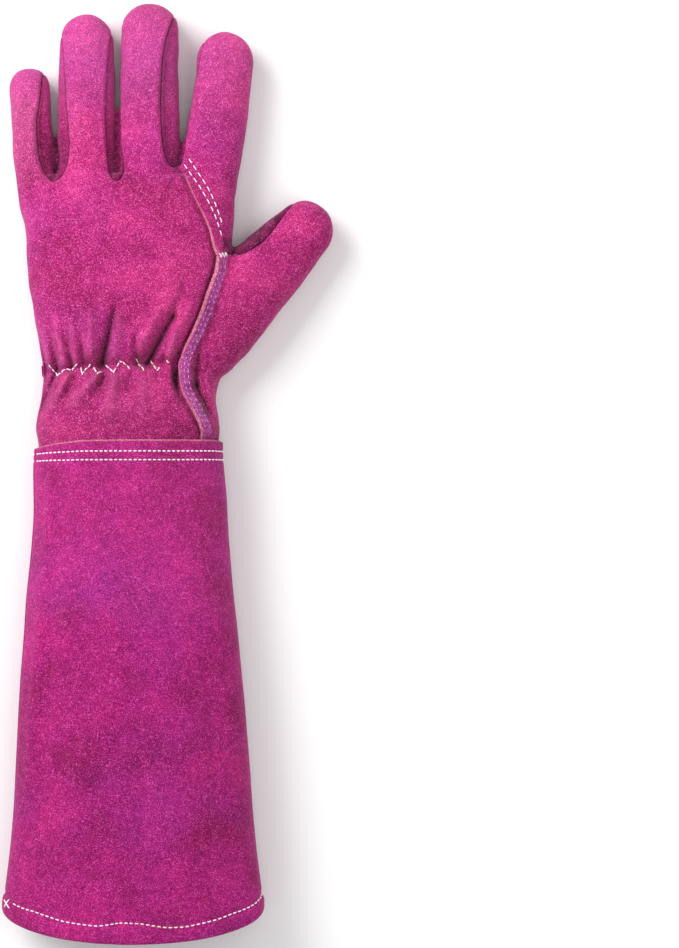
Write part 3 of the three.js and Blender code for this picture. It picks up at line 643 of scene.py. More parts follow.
def suede(name, deep, middle, bright, cast, tips, paling=((0.0, 1.0), (1.0, 1.0)), pale_spot=None):
    """Dyed suede. paling is its lightness along the glove, and the last argument is the middle of a spot
    where it is paler.
    """
    material, tree, shader, place = new_material(name)
    # Cloudy dye: hollows of the colour every 25 mm, with a cooler cast every 60 mm
    dye = add_node(tree, "ShaderNodeValToRGB", None, {"Fac": noise(tree, place, 40.0, 3.0, 0.6)})
    stops(dye, [(0.34, linear(deep)), (0.5, linear(middle)), (0.68, linear(bright))])
    elsewhere = add_node(tree, "ShaderNodeVectorMath", {"operation": "ADD", 1: (3.1, 1.7, 0.4)}, {0: place})
    cool = noise(tree, elsewhere.outputs["Vector"], 16.0, 2.0)
    colour = tinged(tree, dye.outputs["Color"], cast, remapped(tree, cool, 0.5, 0.75, 0.0, 0.4))
    if pale_spot:
        away = add_node(tree, "ShaderNodeVectorMath", {"operation": "DISTANCE", 1: pale_spot}, {0: place})
        spot = remapped(tree, away.outputs["Value"], 0.012, 0.034, 0.15, 0.0)
        colour = tinged(tree, colour, tips, spot)
    # Tufts of the nap, half a millimetre apart, in patches of 3 mm: dark at the roots, paler at the tips
    nap = add_node(tree, "ShaderNodeMath", {"operation": "MULTIPLY_ADD", 1: 0.25},
                   {0: noise(tree, place, 330.0, 2.0, 0.6), 2: noise(tree, place, 1800.0, 1.0, 0.7)})
    nap = nap.outputs["Value"]
    shade = remapped(tree, nap, 0.45, 0.75, 0.42, 1.18)
    # How much paler or deeper the nap is along the glove, from 0.2 m below the middle to 0.25 m above it
    height = add_node(tree, "ShaderNodeSeparateXYZ", None, {"Vector": place})
    along = remapped(tree, height.outputs["Y"], -0.2, 0.25)
    paler = add_node(tree, "ShaderNodeValToRGB", None, {"Fac": along})
    stops(paler, [(at, (value / 2,) * 3 + (1.0,)) for at, value in paling])
    paler = paler.outputs["Color"]
    # Painted light from the pieces' attribute: a painted highlight on the ridges of folds, painted shade in
    # their valleys
    painted_light = add_node(tree, "ShaderNodeAttribute", {"attribute_name": "painted_light"}).outputs["Fac"]
    shaded = worked(tree, "MULTIPLY", shade, remapped(tree, painted_light, -2.0, 0.0, 0.1, 1.0))
    halfway = worked(tree, "MULTIPLY", shaded, paler)
    doubled = add_node(tree, "ShaderNodeMath", {"operation": "MULTIPLY", 1: 2.0}, {0: halfway})
    rooted = add_node(tree, "ShaderNodeVectorMath", {"operation": "SCALE"},
                      {0: colour, "Scale": doubled.outputs["Value"]})
    tip_part = remapped(tree, nap, 0.69, 0.88, 0.0, 0.58)
    ridge_highlight = remapped(tree, painted_light, 0.0, 1.0, 0.0, 0.14)
    paling_part = remapped(tree, paler, 0.505, 0.54, 0.0, 0.1)
    paling_and_highlight = worked(tree, "ADD", paling_part, ridge_highlight)
    pale_part = worked(tree, "ADD", tip_part, paling_and_highlight, use_clamp=True)
    surface(tree, shader, tinged(tree, rooted.outputs["Vector"], tips, pale_part), nap, 0.6, 0.0006,
            {"Roughness": 0.95, "Specular IOR Level": 0.12, "Sheen Weight": 0.3, "Sheen Roughness": 0.5,
             "Sheen Tint": linear("#e59abf")})
    return material


hand_suede = suede("brushed_split_suede", "#a01a62", "#b42474", "#cc3480", "#a83496", "#ea8abe",
                   ((0.46, 0.82), (0.53, 0.86), (0.58, 0.99), (0.76, 0.99), (0.88, 1.07), (0.96, 1.1)),
                   pale_spot=(-0.07, 0.165, 0.02))
pale_suede = suede("raw_suede_edge", "#b86078", "#c77088", "#d48498", "#b87488", "#e8b0b8")
# A darker copy of the hand's suede, as painted shade, for the fourchettes between the fingers and the strip
# at the thumb's crotch
shaded_suede = suede("painted_shade_split_suede", "#94185a", "#a42068", "#b42a76", "#942c80", "#cc74a4",
                     ((0.6, 1.0), (0.78, 0.95), (0.9, 1.2)))
hand_finish = (hand_suede, pale_suede)


# Back panel
# One piece of suede for the back of the hand and of the little, ring and middle fingers. It is turned in
# along the finger seams, and runs on under the lapped seam beside the thumb and under the cuff.
WRIST_END = -11.5
# Where the elastic pulls a deep hollow beside the lap
HOLLOW_AT = 31


def past_wrist(points):
    return WRIST_END - points[:, 1]


def off_wrist(points):
    """All but the plain end of the suede under the cuff."""
    return points[:, 1] > WRIST_END + 0.3


def under_reach(points):
    return UNDER_LAP * smooth_step(131, 121, points[:, 1])


def above_finger_seam(points):
    return FINGER_SEAM_HEIGHT - points[:, 2]


back = trim(skin, lambda p: beside(LAP_LINE, p) - under_reach(p))
back = trim(back, above_finger_seam)
for slit in SLITS.values():
    back = trim(back, lambda p, slit=slit: beside(slit, p))
back = trim(back, past_wrist)


def back_turned(points):
    hidden = beside(LAP_LINE, points) > under_reach(points) - 0.4
    return ~(hidden & (points[:, 2] > 10) & (points[:, 1] < 131)) & off_wrist(points)


back = roll_seams(back, back_turned)
beside_lap = beside(LAP_LINE, back[0])
along = back[0][:, 1]
sunk = 0.45 * smooth_step(-3.0, 0.5, beside_lap) + 1.3 * hump(beside_lap, -0.6, 1.0)
sunk += 5.4 * hump(beside_lap, -1.2, 1.9) * hump(along, HOLLOW_AT, 9)
sunk *= smooth_step(131, 127, along) * smooth_step(8, 12, back[0][:, 2])
back[0][:, :3] -= back[0][:, 3:6] * sunk[:, None]
# Painted light: a painted highlight on the ridges, and painted shade in the valleys, along the edge of the
# lap's shadow and in the hollow.
back_painted_light = np.clip(fold_heights(back[0][:, :2]) / 4.0, -1.3, 1.0) * smooth_step(8, 14, back[0][:, 2])
beside_edge = hump(beside_lap, -0.5, 0.6) * smooth_step(90, 76, along)
hollow = hump(beside_lap, -1.4, 1.6) * hump(along, HOLLOW_AT, 7)
back_painted_light -= 0.9 * beside_edge + 2.2 * hollow
back_panel = walled("back_of_hand", back, nowhere, hand_finish, painted_light=back_painted_light)
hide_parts("back_panel")
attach(back_panel, "root")


# Palm panel
# The largest piece: the palm with the fronts of the little finger and the thumb, and the index finger whole,
# which wraps round to the back and is lapped over the back panel with a raw edge.
def in_thumb_back(points):
    over = np.minimum(points[:, 2] - THUMB_SEAM_HEIGHT, beside(THUMB_LINE, points))
    turned_under = np.minimum(THUMB_SEAM_HEIGHT - points[:, 2], beside(UNDER_LINE, points))
    return np.maximum(over, turned_under)


palm = trim(skin, lambda p: np.minimum(-beside(LAP_LINE, p), p[:, 2] - FINGER_SEAM_HEIGHT))
index_slit = SLITS["fourchette_middle_index"]
palm = trim(palm, lambda p: np.minimum(beside(index_slit, p), p[:, 2] - FINGER_SEAM_HEIGHT))
palm = trim(palm, in_thumb_back)
palm = trim(palm, lambda p: np.minimum(beside(FRONTS_LINE, p), FINGER_SEAM_HEIGHT - p[:, 2]))
palm = trim(palm, past_wrist)


def on_lap(points, low, high):
    """The lapped seam's raw edge, between two places along the glove."""
    on_edge = (np.abs(beside(LAP_LINE, points)) < 1.5) & (points[:, 2] > ON_BACK)
    return on_edge & (points[:, 1] > low) & (points[:, 1] < high)


def on_index_lap(points):
    return on_lap(points, 87.5, 131)


def at_bar_tack(points):
    return (np.linalg.norm(points[:, :2] - BAR_TACK, axis=1) < 6) & (points[:, 2] > ON_BACK)


def beside_thumb_crotch(points):
    """The strip between the thumb's upper seam and the crotch, which is painted dark as shade."""
    return (np.abs(beside(eased(THUMB_TOP, 2), points)) < 8) & (points[:, 0] > 44.5) & (points[:, 2] > 5)


def stitch_dent(distance, rows):
    """The rows of stitches pull the upper suede down a little."""
    return sum(-0.4 * hump(distance, row, 0.8) for row in rows)


# Distances of the rows of stitches from the raw edges
INDEX_ROWS = (4.4, 7.8)
THUMB_ROWS = (2.4, 4.4)
palm = roll_seams(palm, lambda p: ~on_index_lap(p) & ~at_bar_tack(p) & off_wrist(p))
from_lap = beside(LAP_LINE, palm[0])
along = palm[0][:, 1]
on_top = smooth_step(9, 13, palm[0][:, 2]) * smooth_step(80, 86, along) * smooth_step(134, 128, along)
raised = on_top * (RAISED * smooth_step(13, 0, from_lap) + stitch_dent(from_lap, INDEX_ROWS))
palm[0][:, :3] += palm[0][:, 3:6] * raised[:, None]
# Painted shade on the strip at the thumb's crotch, which also takes the darker suede with painted shade
palm_painted_shade = -1.3 * beside_thumb_crotch(palm[0]) * (1 + 0.6 * slow_waves(palm[0][:, :3], 6, 11))
palm_panel = walled("palm_and_index", palm, on_index_lap, (hand_suede, pale_suede, shaded_suede),
                    beside_thumb_crotch, palm_painted_shade)
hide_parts("palm_panel")
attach(palm_panel, "root")


# Back of the thumb
# A piece of its own, lapped over the back panel from the bar tack to the cuff and turned in round the thumb.
thumb = trim(skin, lambda p: -in_thumb_back(p))
thumb = trim(thumb, past_wrist)


def on_thumb_lap(points):
    return on_lap(points, -np.inf, 88.5)


def sewn_band(points):
    """The strip along the thumb's raw edge, where both rows of stitches run."""
    return (beside(LAP_LINE, points) < 5.2) & (points[:, 2] > ON_BACK) & (points[:, 1] < 88)


thumb = roll_seams(thumb, lambda p: ~on_thumb_lap(p) & ~at_bar_tack(p) & off_wrist(p))
from_lap = beside(LAP_LINE, thumb[0])
along = thumb[0][:, 1]
on_top = smooth_step(9, 13, thumb[0][:, 2]) * smooth_step(96, 90, along) * smooth_step(0, 6, along)
band_height = RAISED + 0.6 * smooth_step(88, 78, along)
band = band_height * smooth_step(7.0, 4.2, from_lap) + 0.5 * smooth_step(14, 4, from_lap)
band -= 0.7 * smooth_step(88, 80, along) * hump(from_lap, 7.6, 1.6)
raised = on_top * (band + stitch_dent(from_lap, THUMB_ROWS))
thumb[0][:, :3] += thumb[0][:, 3:6] * raised[:, None]
# Painted light on the thumb's back: painted highlight on fold ridges, painted shade in fold valleys, and
# more painted shade towards the thumb's base
thumb_painted_light = np.clip(fold_heights(thumb[0][:, :2]) / 2.6, -1.5, 0.6) * on_top
thumb_painted_light -= 0.12 + 0.2 * smooth_step(85, 60, along)
lap_suede = suede("brushed_lap_suede", "#a83a86", "#b64494", "#c452a0", "#a04aaa", "#e29ccc")
thumb_back = walled("back_of_thumb", thumb, on_thumb_lap, (hand_suede, pale_suede, lap_suede), sewn_band,
                    thumb_painted_light)
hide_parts("thumb_back")
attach(thumb_back, "root")


# Fourchettes
# The strips set in between the fingers, in three pieces. Each runs down one finger, round the crotch and up
# the next, sunk between the turned seams.

# Along this line the strip beside the little finger folds sharply, where the two fingers touch
POCKET = eased([(-35.4, 145.5), (-35.0, 142.0), (-34.7, 138.3), (-34.8, 130.7), (-37.0, 124.5)], 4)
for node, slit in SLITS.items():
    strip = trim(skin, above_finger_seam)
    strip = trim(strip, lambda p, slit=slit: -beside(slit, p))
    strip = roll_seams(strip, everywhere, ridge=0.0, scoop=2.0)
    # Painted shade: darker towards the crotch, and along the crease where two fingers touch
    crotch_painted_shade = -0.6 * smooth_step(165, 132, strip[0][:, 1])
    from_pocket = np.linalg.norm(strip[0][:, None, :2] - POCKET, axis=2).min(axis=1)
    crease = hump(from_pocket, 0, 1.1) * smooth_step(0.1, 0.5, strip[0][:, 5])
    strip[0][:, 2] -= 1.8 * crease
    crotch_painted_shade -= 1.2 * crease
    fourchette = walled(node + "_strip", strip, nowhere, (shaded_suede, pale_suede), painted_light=crotch_painted_shade)
    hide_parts(node)
    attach(fourchette, "root")


# Fronts of the two middle fingers
# Two pieces set in at the roots of the ring and middle fingers, on the palm side.
fronts = trim(skin, lambda p: np.maximum(-beside(FRONTS_LINE, p), p[:, 2] - FINGER_SEAM_HEIGHT))
BETWEEN_FRONTS = -6.1
for node, side in (("ring_front", 1), ("middle_front", -1)):
    front = trim(fronts, lambda p, side=side: side * (p[:, 0] - BETWEEN_FRONTS))
    front = roll_seams(front, everywhere)
    finger_front = walled(node + "_piece", front, nowhere, hand_finish)
    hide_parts(node)
    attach(finger_front, "root")


# Welt
# A folded strip caught in the seam at the roots of the two fronts, which stands a little proud of the palm.
def resampled(line, pitch):
    """Points along a line, a pitch apart."""
    line = np.asarray(line, float)
    lengths = np.concatenate([[0], np.cumsum(np.linalg.norm(np.diff(line, axis=0), axis=1))])
    at = np.arange(pitch / 2, lengths[-1], pitch)
    return np.column_stack([np.interp(at, lengths, line[:, i]) for i in range(line.shape[1])])


def tube(points, normals, radius, sides, flatness=1.0):
    """A tube along points, closed at its ends, with its width across the normals."""
    ways = unit(np.gradient(points, axis=0))
    across = unit(np.cross(ways, normals))
    turn = np.arange(sides) / sides * 2 * np.pi
    ends = np.ones(len(points))
    ends[[0, -1]] = 0.35
    rings = []
    for i, point in enumerate(points):
        up = flatness * np.sin(turn)[:, None] * np.cross(across[i], ways[i])
        rings.append(point + ends[i] * radius * (np.cos(turn)[:, None] * across[i] + up))
    return loft(rings)


underside = BVHTree.FromPolygons(skin_points.tolist(), skin_faces.tolist())
welt_path = []
for x, y in resampled(eased(SET_IN, 2), 1.5):
    hit = underside.ray_cast(Vector((x, y, -20)), Vector((0, 0, 1)))
    welt_path.append((x, y, hit[0].z - 0.1))
welt_path = np.array(welt_path)
welt_points, welt_faces = tube(welt_path, np.tile([0.0, 0.0, -1.0], (len(welt_path), 1)), 1.55, 12, 0.9)
welt_points[:, 2] = np.maximum(welt_points[:, 2], 0.2)
welt_mesh = plain_mesh("set_in_welt", (welt_points + ORIGIN) * 0.001, welt_faces)
welt_mesh.materials.append(suede("folded_welt_suede", "#a04e66", "#b05e74", "#c07084", "#9c5a74", "#d8a0ac"))
welt_mesh.shade_smooth()
welt = placed("set_in_welt", welt_mesh)
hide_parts("palm_welt")
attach(welt, "root")


# Cuff
# A long sleeve in two pieces, back and front, with turned seams at the sides. Its upper edge is raw and
# lapped over the hand, and its lower edge is folded in and sewn.

# y, left and right of the cuff, and its height
CUFF_SECTIONS = np.array([
    (0.0, -45.6, 44.4, 41.0), (-9.5, -46.1, 44.6, 41.2), (-28.6, -46.7, 46.3, 42.0),
    (-47.7, -47.5, 47.5, 43.0), (-66.8, -49.1, 49.1, 44.0), (-95.4, -50.6, 52.0, 45.4),
    (-124.0, -52.5, 54.6, 46.6), (-152.6, -54.4, 57.0, 47.7), (-181.3, -56.5, 59.6, 48.8),
    (-209.9, -59.4, 63.0, 49.7), (-222.3, -61.0, 64.7, 50.0)])
CUFF_SIDE_LENGTH = 221.3
HEM_SAG = 16.6
HEM_FOLD = 8.0
# Place across the cuff, and how far the upper edge dips there
EDGE_DIP = ((-1.0, -4.4), (-0.82, -2.6), (-0.5, -0.8), (0.0, -0.5), (0.9, -0.6), (1.0, -1.3))
CUFF_ROWS_AT = (5.0, 9.2)
HEM_ROW_AT = 6.2
# x, and how far the hem's row wanders to the fingertips there
HEM_WANDER = ((-54.0, 0.6), (-44.5, 1.3), (-30.5, 0.0), (-14.3, -0.3), (-3.3, 1.5), (6.2, 1.1), (17.6, -0.9),
              (27.0, -1.3), (33.4, -0.9), (41.5, -0.5), (49.0, 0.3), (58.0, 0.0))


def cuff_outside(turn, along):
    """Points of the cuff's outside. turn goes round it from the thumb's side, over the back first."""
    y = -along * CUFF_SIDE_LENGTH
    left, right, top = (glide(-CUFF_SECTIONS[:, 0], CUFF_SECTIONS[:, i], -y) for i in (1, 2, 3))
    out, z = rounded(turn * 2 * np.pi, 0.0, top)
    sag = HEM_SAG * (0.15 * along + 0.85 * along**3) * np.sqrt(np.clip(1 - out**2, 0, 1))
    dip = from_table(out, EDGE_DIP) * np.exp(-along * CUFF_SIDE_LENGTH / 6)
    return np.stack([(left + right) / 2 + out * (right - left) / 2, y - sag + dip, z], axis=-1)


# Long folds of the cuff's back: x at the upper and the lower end, distances of the ends from the upper edge,
# width and height
CUFF_FOLDS = ((-36.5, -48.0, 12, 160, 2.6, 0.9), (-31.5, -42.5, 20, 175, 3.2, -0.8),
              (-6.0, -8.0, 206, 232, 1.9, -2.4), (-1.5, -2.5, 204, 232, 2.4, 1.7),
              (-20.0, -26.0, 120, 205, 7.0, 1.0), (22.0, 27.0, 90, 190, 8.0, 0.9),
              (6.0, 3.0, 150, 215, 5.0, -1.0), (38.0, 48.0, 110, 200, 5.0, -0.9))
# Slow waves of the cuff: height, how much they are drawn out along it, size, number of the random draw, and
# where they begin and are full. That is a distance from the upper edge, and in the last row from the hem.
CUFF_WAVES = ((1.3, 0.5, 60, 7, 4, 40), (0.5, 0.7, 22, 8, 14, 60), (0.9, 0.2, 26, 9, 70, 0))
CUFF_ROWS = 190
CUFF_COLUMNS = 110


def hem_row_at(x, z):
    """Distance of the hem's stitches from the edge. They wander on the back alone."""
    return HEM_ROW_AT + from_table(x, HEM_WANDER) * smooth_step(8, 20, z)


def grid_normals(grid):
    return unit(np.cross(np.gradient(grid, axis=1), np.gradient(grid, axis=0)))


def grid_quads(number):
    """The corners of the squares of a grid of numbered points."""
    corners = [number[:-1, :-1], number[:-1, 1:], number[1:, 1:], number[1:, :-1]]
    return np.stack(corners, axis=-1).reshape(-1, 4)


def cuff_sheet(start, end):
    """A grid of the outside between two turns, which are given at the top and at the hem."""
    along = np.linspace(0, 1, CUFF_ROWS)[:, None]
    share = np.linspace(0, 1, CUFF_COLUMNS)[None, :]
    first = start[0] + (start[1] - start[0]) * along
    last = end[0] + (end[1] - end[0]) * along
    grid = cuff_outside(first + (last - first) * share, along + 0 * share)
    normals = grid_normals(grid)
    flat = grid.reshape(-1, 3)
    from_top = along * CUFF_SIDE_LENGTH
    from_hem = (1 - along) * CUFF_SIDE_LENGTH
    steps = np.linalg.norm(np.diff(grid, axis=1), axis=2)
    run = np.hstack([np.zeros((CUFF_ROWS, 1)), np.cumsum(steps, axis=1)])
    from_seam = np.minimum(run, run[:, -1:] - run)
    roll = np.clip(1 - from_seam / SEAM_ROLL, 0, 1)
    off_table = smooth_step(0.3, 4.0, grid[:, :, 2])
    height = np.zeros(roll.shape)
    for row, distance in zip(CUFF_WAVES, (from_top, from_top, from_hem)):
        high, drawn, size, seed, begin, full = row
        waves = slow_waves(flat * (1, drawn, 1), size, seed).reshape(roll.shape)
        height += high * waves * smooth_step(begin, full, distance)
    for x0, x1, upper, lower, width, depth in CUFF_FOLDS:
        middle = x0 + (x1 - x0) * (from_top - upper) / (lower - upper)
        length = smooth_step(upper - 8, upper + 12, from_top) * smooth_step(lower + 12, lower - 8, from_top)
        height += depth * length * hump(grid[:, :, 0], middle, width) * (grid[:, :, 2] > ON_BACK)
    height = height * off_table - SEAM_DEPTH * (1 - np.sqrt(1 - roll**2))
    height += off_table * stitch_dent(from_top, CUFF_ROWS_AT)
    # The hem's row of stitches sinks in, and the folded edge below it swells
    height -= 0.8 * off_table * hump(from_hem, hem_row_at(grid[:, :, 0], grid[:, :, 2]), 1.3)
    height += 0.5 * off_table * hump(from_hem, 3.4, 2.6)
    grid = grid + normals * height[:, :, None]
    grid[:, :, 2] = np.maximum(grid[:, :, 2], 0)
    return grid


def cuff_piece(name, grid):
    """Gives the sheet its wall, with the hem folded in to a double wall and a round lower edge."""
    normals = grid_normals(grid)
    from_hem = (1 - np.linspace(0, 1, CUFF_ROWS)) * CUFF_SIDE_LENGTH
    wall = np.where(from_hem < HEM_FOLD, 2 * WALL, WALL)[:, None, None]
    inner = grid - normals * wall
    inner[:, :, 2] = np.maximum(inner[:, :, 2], np.minimum(grid[:, :, 2] + 1.0, 1.2))
    inner[0] += (0, 0.8, 0)
    down = unit(grid[-1] - grid[-2])
    middle = (grid[-1] + inner[-1]) / 2
    half = (grid[-1] - inner[-1]) / 2
    edge = [middle + half * math.cos(turn) + down * WALL * math.sin(turn)
            for turn in np.radians([30, 60, 90, 120, 150])]
    rows = np.concatenate([grid, np.array(edge), inner[::-1]])
    rows[:, :, 2] = np.maximum(rows[:, :, 2], 0)
    high, wide = rows.shape[:2]
    number = np.arange(high * wide).reshape(high, wide)
    quads = grid_quads(number)
    top_rim = np.column_stack([number[-1, :-1], number[-1, 1:], number[0, 1:], number[0, :-1]])
    sides = []
    for line, flip in ((number[:, 0], False), (number[:, -1], True)):
        for i in range((high + 1) // 2 - 1):
            side = [line[i], line[high - 1 - i], line[high - 2 - i], line[i + 1]]
            if len(set(side)) == 4:
                sides.append(side if flip else side[::-1])
    faces = np.vstack([quads, top_rim, np.array(sides)])
    mesh = plain_mesh(name, (rows.reshape(-1, 3) + ORIGIN) * 0.001, faces)
    index = np.zeros(len(mesh.polygons), dtype=np.int32)
    index[len(quads):len(quads) + len(top_rim)] = 1
    return dressed(name, mesh, cuff_finish, index, len(quads))


# The cuff's nap is painted darker on its lower part, above the hem: painted shade where the light falls off
cuff_suede = suede("brushed_cuff_suede", "#94135d", "#a51970", "#b81f76", "#8e2290", "#d96cac",
                   ((0.0, 1.0), (0.04, 0.91), (0.16, 0.91), (0.3, 1.03)))
cuff_finish = (cuff_suede, pale_suede)
# Where the side seams lie round the cuff, at its top and at its hem, as shares of a whole turn
THUMB_SIDE_TURNS = (-0.049, -0.0645)
LITTLE_SIDE_TURNS = (0.4704, 0.4964)
cuff_back_grid = cuff_sheet(THUMB_SIDE_TURNS, LITTLE_SIDE_TURNS)
cuff_front_grid = cuff_sheet(LITTLE_SIDE_TURNS, (THUMB_SIDE_TURNS[0] + 1, THUMB_SIDE_TURNS[1] + 1))
CUFF_HALVES = (("cuff_back", "back_of_cuff", cuff_back_grid),
               ("cuff_front", "front_of_cuff", cuff_front_grid))
for node, name, grid in CUFF_HALVES:
    half = cuff_piece(name, grid)
    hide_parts(node)
    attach(half, "root")


# Stitches
# White bonded thread in lockstitch, 0.7 mm thick and thinner where it sinks in: two rows along each lapped
# seam and round the cuff's upper edge, one round the hem, and a zigzag over the elastic. The rows beside the
# thumb have taken the suede's dye. Each stitch dips into the suede at both ends.
def thread_material(name, clean, soiled_part):
    material, tree, shader, place = new_material(name)
    soiled = add_node(tree, "ShaderNodeValToRGB", None, {"Fac": noise(tree, place, 30.0, 2.0)})
    stops(soiled, [(0.5, linear(clean)), (0.7, linear(soiled_part))])
    # The twist of the thread's plies, 0.5 mm a turn
    surface(tree, shader, soiled.outputs["Color"], noise(tree, place, 2000.0, 1.0), 0.4, 0.0002,
            {"Roughness": 0.6, "Sheen Weight": 0.2})
    return material


thread = thread_material("white_bonded_thread", "#f4e2ee", "#eddcc0")
stained_thread = thread_material("dye_stained_thread", "#b880c4", "#c08cb4")
# Half the thickness of the thread round the cuff, over the elastic, on the index finger's lap, and where the
# thread sinks in
STITCH_RADIUS = 0.34
ZIGZAG_RADIUS = 0.33
LAP_RADIUS = 0.27
SUNK_RADIUS = 0.24


def stitch(start, end, normal, radius):
    """One stitch between two needle holes, highest in its middle."""
    shares = np.array([0.0, 0.12, 0.35, 0.65, 0.88, 1.0])
    heights = np.array([-0.35, 0.12, 0.3, 0.3, 0.12, -0.35])
    points = start + (end - start) * shares[:, None] + normal * heights[:, None]
    return tube(points, np.tile(normal, (len(points), 1)), radius, 8)


def sewn_row(points, normals, length_share, radius=STITCH_RADIUS):
    """Stitches along a row of needle holes, each covering a share of the pitch."""
    return [stitch(a, a + (b - a) * length_share, normal, radius)
            for a, b, normal in zip(points[:-1], points[1:], normals[:-1])]


def legs(line, pitch):
    """Needle holes along a line, about a pitch apart, with one at each of its corners."""
    holes = [line[0]]
    for a, b in zip(line[:-1], line[1:]):
        count = max(round(math.dist(a, b) / pitch), 1)
        holes += [tuple(np.array(a) + (np.array(b) - a) * i / count) for i in range(1, count + 1)]
    return holes


def joined(name, bodies, material):
    points, faces = together(bodies)
    mesh = plain_mesh(name, (points + ORIGIN) * 0.001, faces)
    mesh.materials.append(material)
    mesh.shade_smooth()
    piece = placed(name, mesh)
    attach(piece, "root")


def offset_line(line, by):
    """A line moved to the left of its travel."""
    ways = unit(np.gradient(line, axis=0))
    return line + by * np.column_stack([-ways[:, 1], ways[:, 0]])


def onto(sheet, plan, height=0.0):
    """Drops plan points onto a sheet from above. Gives the points that land, and their normals."""
    tree = BVHTree.FromPolygons(sheet[0][:, :3].tolist(), sheet[1].tolist())
    points, normals = [], []
    for x, y in plan:
        hit = tree.ray_cast(Vector((x, y, 100)), Vector((0, 0, -1)))
        if hit[0] is not None and hit[1].z > 0.2:
            points.append(np.array(hit[0]) + np.array(hit[1]) * height)
            normals.append(np.array(hit[1]))
    return np.array(points), np.array(normals)


# The lines of the two rows on the index finger's lap
INDEX_STITCHES = (
    [(24.9, 133.0), (30.6, 124.4), (34.0, 119.6), (39.4, 110.1), (42.0, 103.1), (44.8, 93.8)],
    [(27.2, 135.8), (33.4, 126.0), (38.2, 118.6), (42.0, 109.1), (44.9, 100.2)])
lap_stitches = []
for row in INDEX_STITCHES:
    lap_stitches += sewn_row(*onto(palm, resampled(eased(row, 2), 4.0)), 0.68, LAP_RADIUS)
thumb_part = LAP_LINE[(LAP_LINE[:, 1] < 85.5) & (LAP_LINE[:, 1] > 1.5)]
thumb_stitches = []
for row in THUMB_ROWS:
    holes = resampled(offset_line(thumb_part, row), 2.9)
    thumb_stitches += sewn_row(*onto(thumb, holes, -0.3), 0.5, SUNK_RADIUS)
joined("thumb_lap_stitches", thumb_stitches, stained_thread)
both_laps = together([palm, thumb])
tack = np.array([(42.8, 89.0), (43.5, 86.6), (44.2, 89.2), (45.0, 86.8), (45.6, 89.4), (46.4, 87.2)])
lap_stitches += sewn_row(*onto(both_laps, tack), 0.95, SUNK_RADIUS)
joined("lapped_seam_stitches", lap_stitches, thread)

# The zigzag over the elastic. Its rising legs sink between the gathers here and there.
ZIGZAG = (
    [(-38.2, 35.8), (-34.3, 30.1), (-30.1, 33.9), (-27.2, 32.9), (-24.6, 36.7)],
    [(-23.2, 34.6), (-22.4, 30.8), (-18.3, 36.6)], [(-17.0, 34.4), (-15.3, 31.3), (-12.7, 32.3)],
    [(-11.1, 35.5), (-7.4, 31.8), (-4.5, 37.6), (-2.9, 37.1), (0.5, 33.1)], [(2.9, 38.7), (7.2, 32.3)],
    [(10.4, 37.6), (13.0, 33.1), (14.6, 34.8)], [(17.9, 38.0), (19.4, 36.3)])
zigzag_stitches = []
for run in ZIGZAG:
    zigzag_stitches += sewn_row(*onto(back, legs(run, 2.6), 0.25), 0.76, ZIGZAG_RADIUS)
joined("elastic_zigzag", zigzag_stitches, thread)


def round_cuff(pitch, distance_from_top=None):
    """Stitches round the cuff at a distance from its upper edge, or along its hem where none is given."""
    made = []
    columns = np.arange(CUFF_COLUMNS)
    for grid in (cuff_back_grid, cuff_front_grid):
        normals = grid_normals(grid)
        if distance_from_top is None:
            near = grid[-10]
            row = CUFF_SIDE_LENGTH - hem_row_at(near[:, 0], near[:, 2])
        else:
            row = np.full(CUFF_COLUMNS, distance_from_top)
        row = row / CUFF_SIDE_LENGTH * (CUFF_ROWS - 1)
        low = row.astype(int)
        share = (row - low)[:, None]
        line = grid[low, columns] * (1 - share) + grid[low + 1, columns] * share
        both = resampled(np.hstack([line, normals[low, columns]])[2:-2], pitch)
        made += sewn_row(both[:, :3], both[:, 3:], 0.6)
    return made


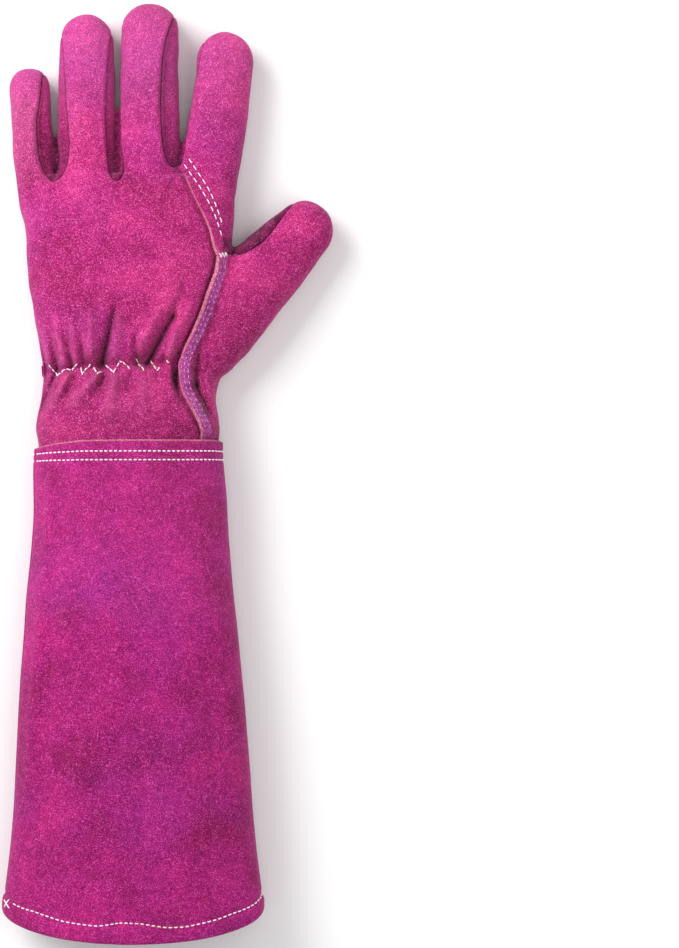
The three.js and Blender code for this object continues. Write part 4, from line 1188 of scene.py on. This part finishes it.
cuff_stitches = []
for distance in CUFF_ROWS_AT:
    cuff_stitches += round_cuff(2.3, distance)
cuff_stitches += round_cuff(2.7)
# A small cross where the hem's row starts, at the little finger's side
CROSS = (-58.2, -220.5)


def at_cross(body):
    middle = body[0].mean(0)
    return np.linalg.norm(middle[:2] - CROSS) <= 3.2 and middle[2] >= ON_BACK


cuff_stitches = [body for body in cuff_stitches if not at_cross(body)]
number = np.arange(CUFF_ROWS * CUFF_COLUMNS).reshape(CUFF_ROWS, CUFF_COLUMNS)
cuff_back_sheet = (cuff_back_grid.reshape(-1, 3), halved(grid_quads(number)))
for cross in ([(-59.6, -218.6), (-56.8, -222.6)], [(-56.9, -218.4), (-59.4, -222.4)]):
    cuff_stitches += sewn_row(*onto(cuff_back_sheet, np.array(cross), 0.15), 1.0)
joined("cuff_and_hem_stitches", cuff_stitches, thread)


# Table and light
# A plain white table in an even white room, under three broad lamps, the brightest at the upper left.
bpy.ops.mesh.primitive_plane_add(size=6, location=(0, 0, -0.0005))
table = bpy.context.object
table.name = "table"
table_paint = bpy.data.materials.new("white_table")
table_paint.use_nodes = True
table_shader = table_paint.node_tree.nodes["Principled BSDF"]
table_shader.inputs["Base Color"].default_value = (0.9, 0.9, 0.9, 1)
table_shader.inputs["Roughness"].default_value = 0.9
table.data.materials.append(table_paint)


def lamp(name, location, size, power):
    data = bpy.data.lights.new(name, "AREA")
    data.size = size
    data.energy = power
    light = placed(name, data)
    light.location = location
    light.rotation_euler = (-Vector(location)).to_track_quat("-Z", "Y").to_euler()


lamp("upper_left", (-0.85, 0.7, 0.9), 1.0, 23)
lamp("overhead", (0.55, 0.0, 2.1), 1.8, 18)
lamp("low_right", (0.95, -0.6, 0.9), 1.0, 3)
world = bpy.data.worlds.new("room")
world.use_nodes = True
room_light = world.node_tree.nodes["Background"]
room_light.inputs["Color"].default_value = (1, 1, 1, 1)
room_light.inputs["Strength"].default_value = 0.38
bpy.context.scene.world = world
bpy.context.scene.view_settings.view_transform = "Standard"
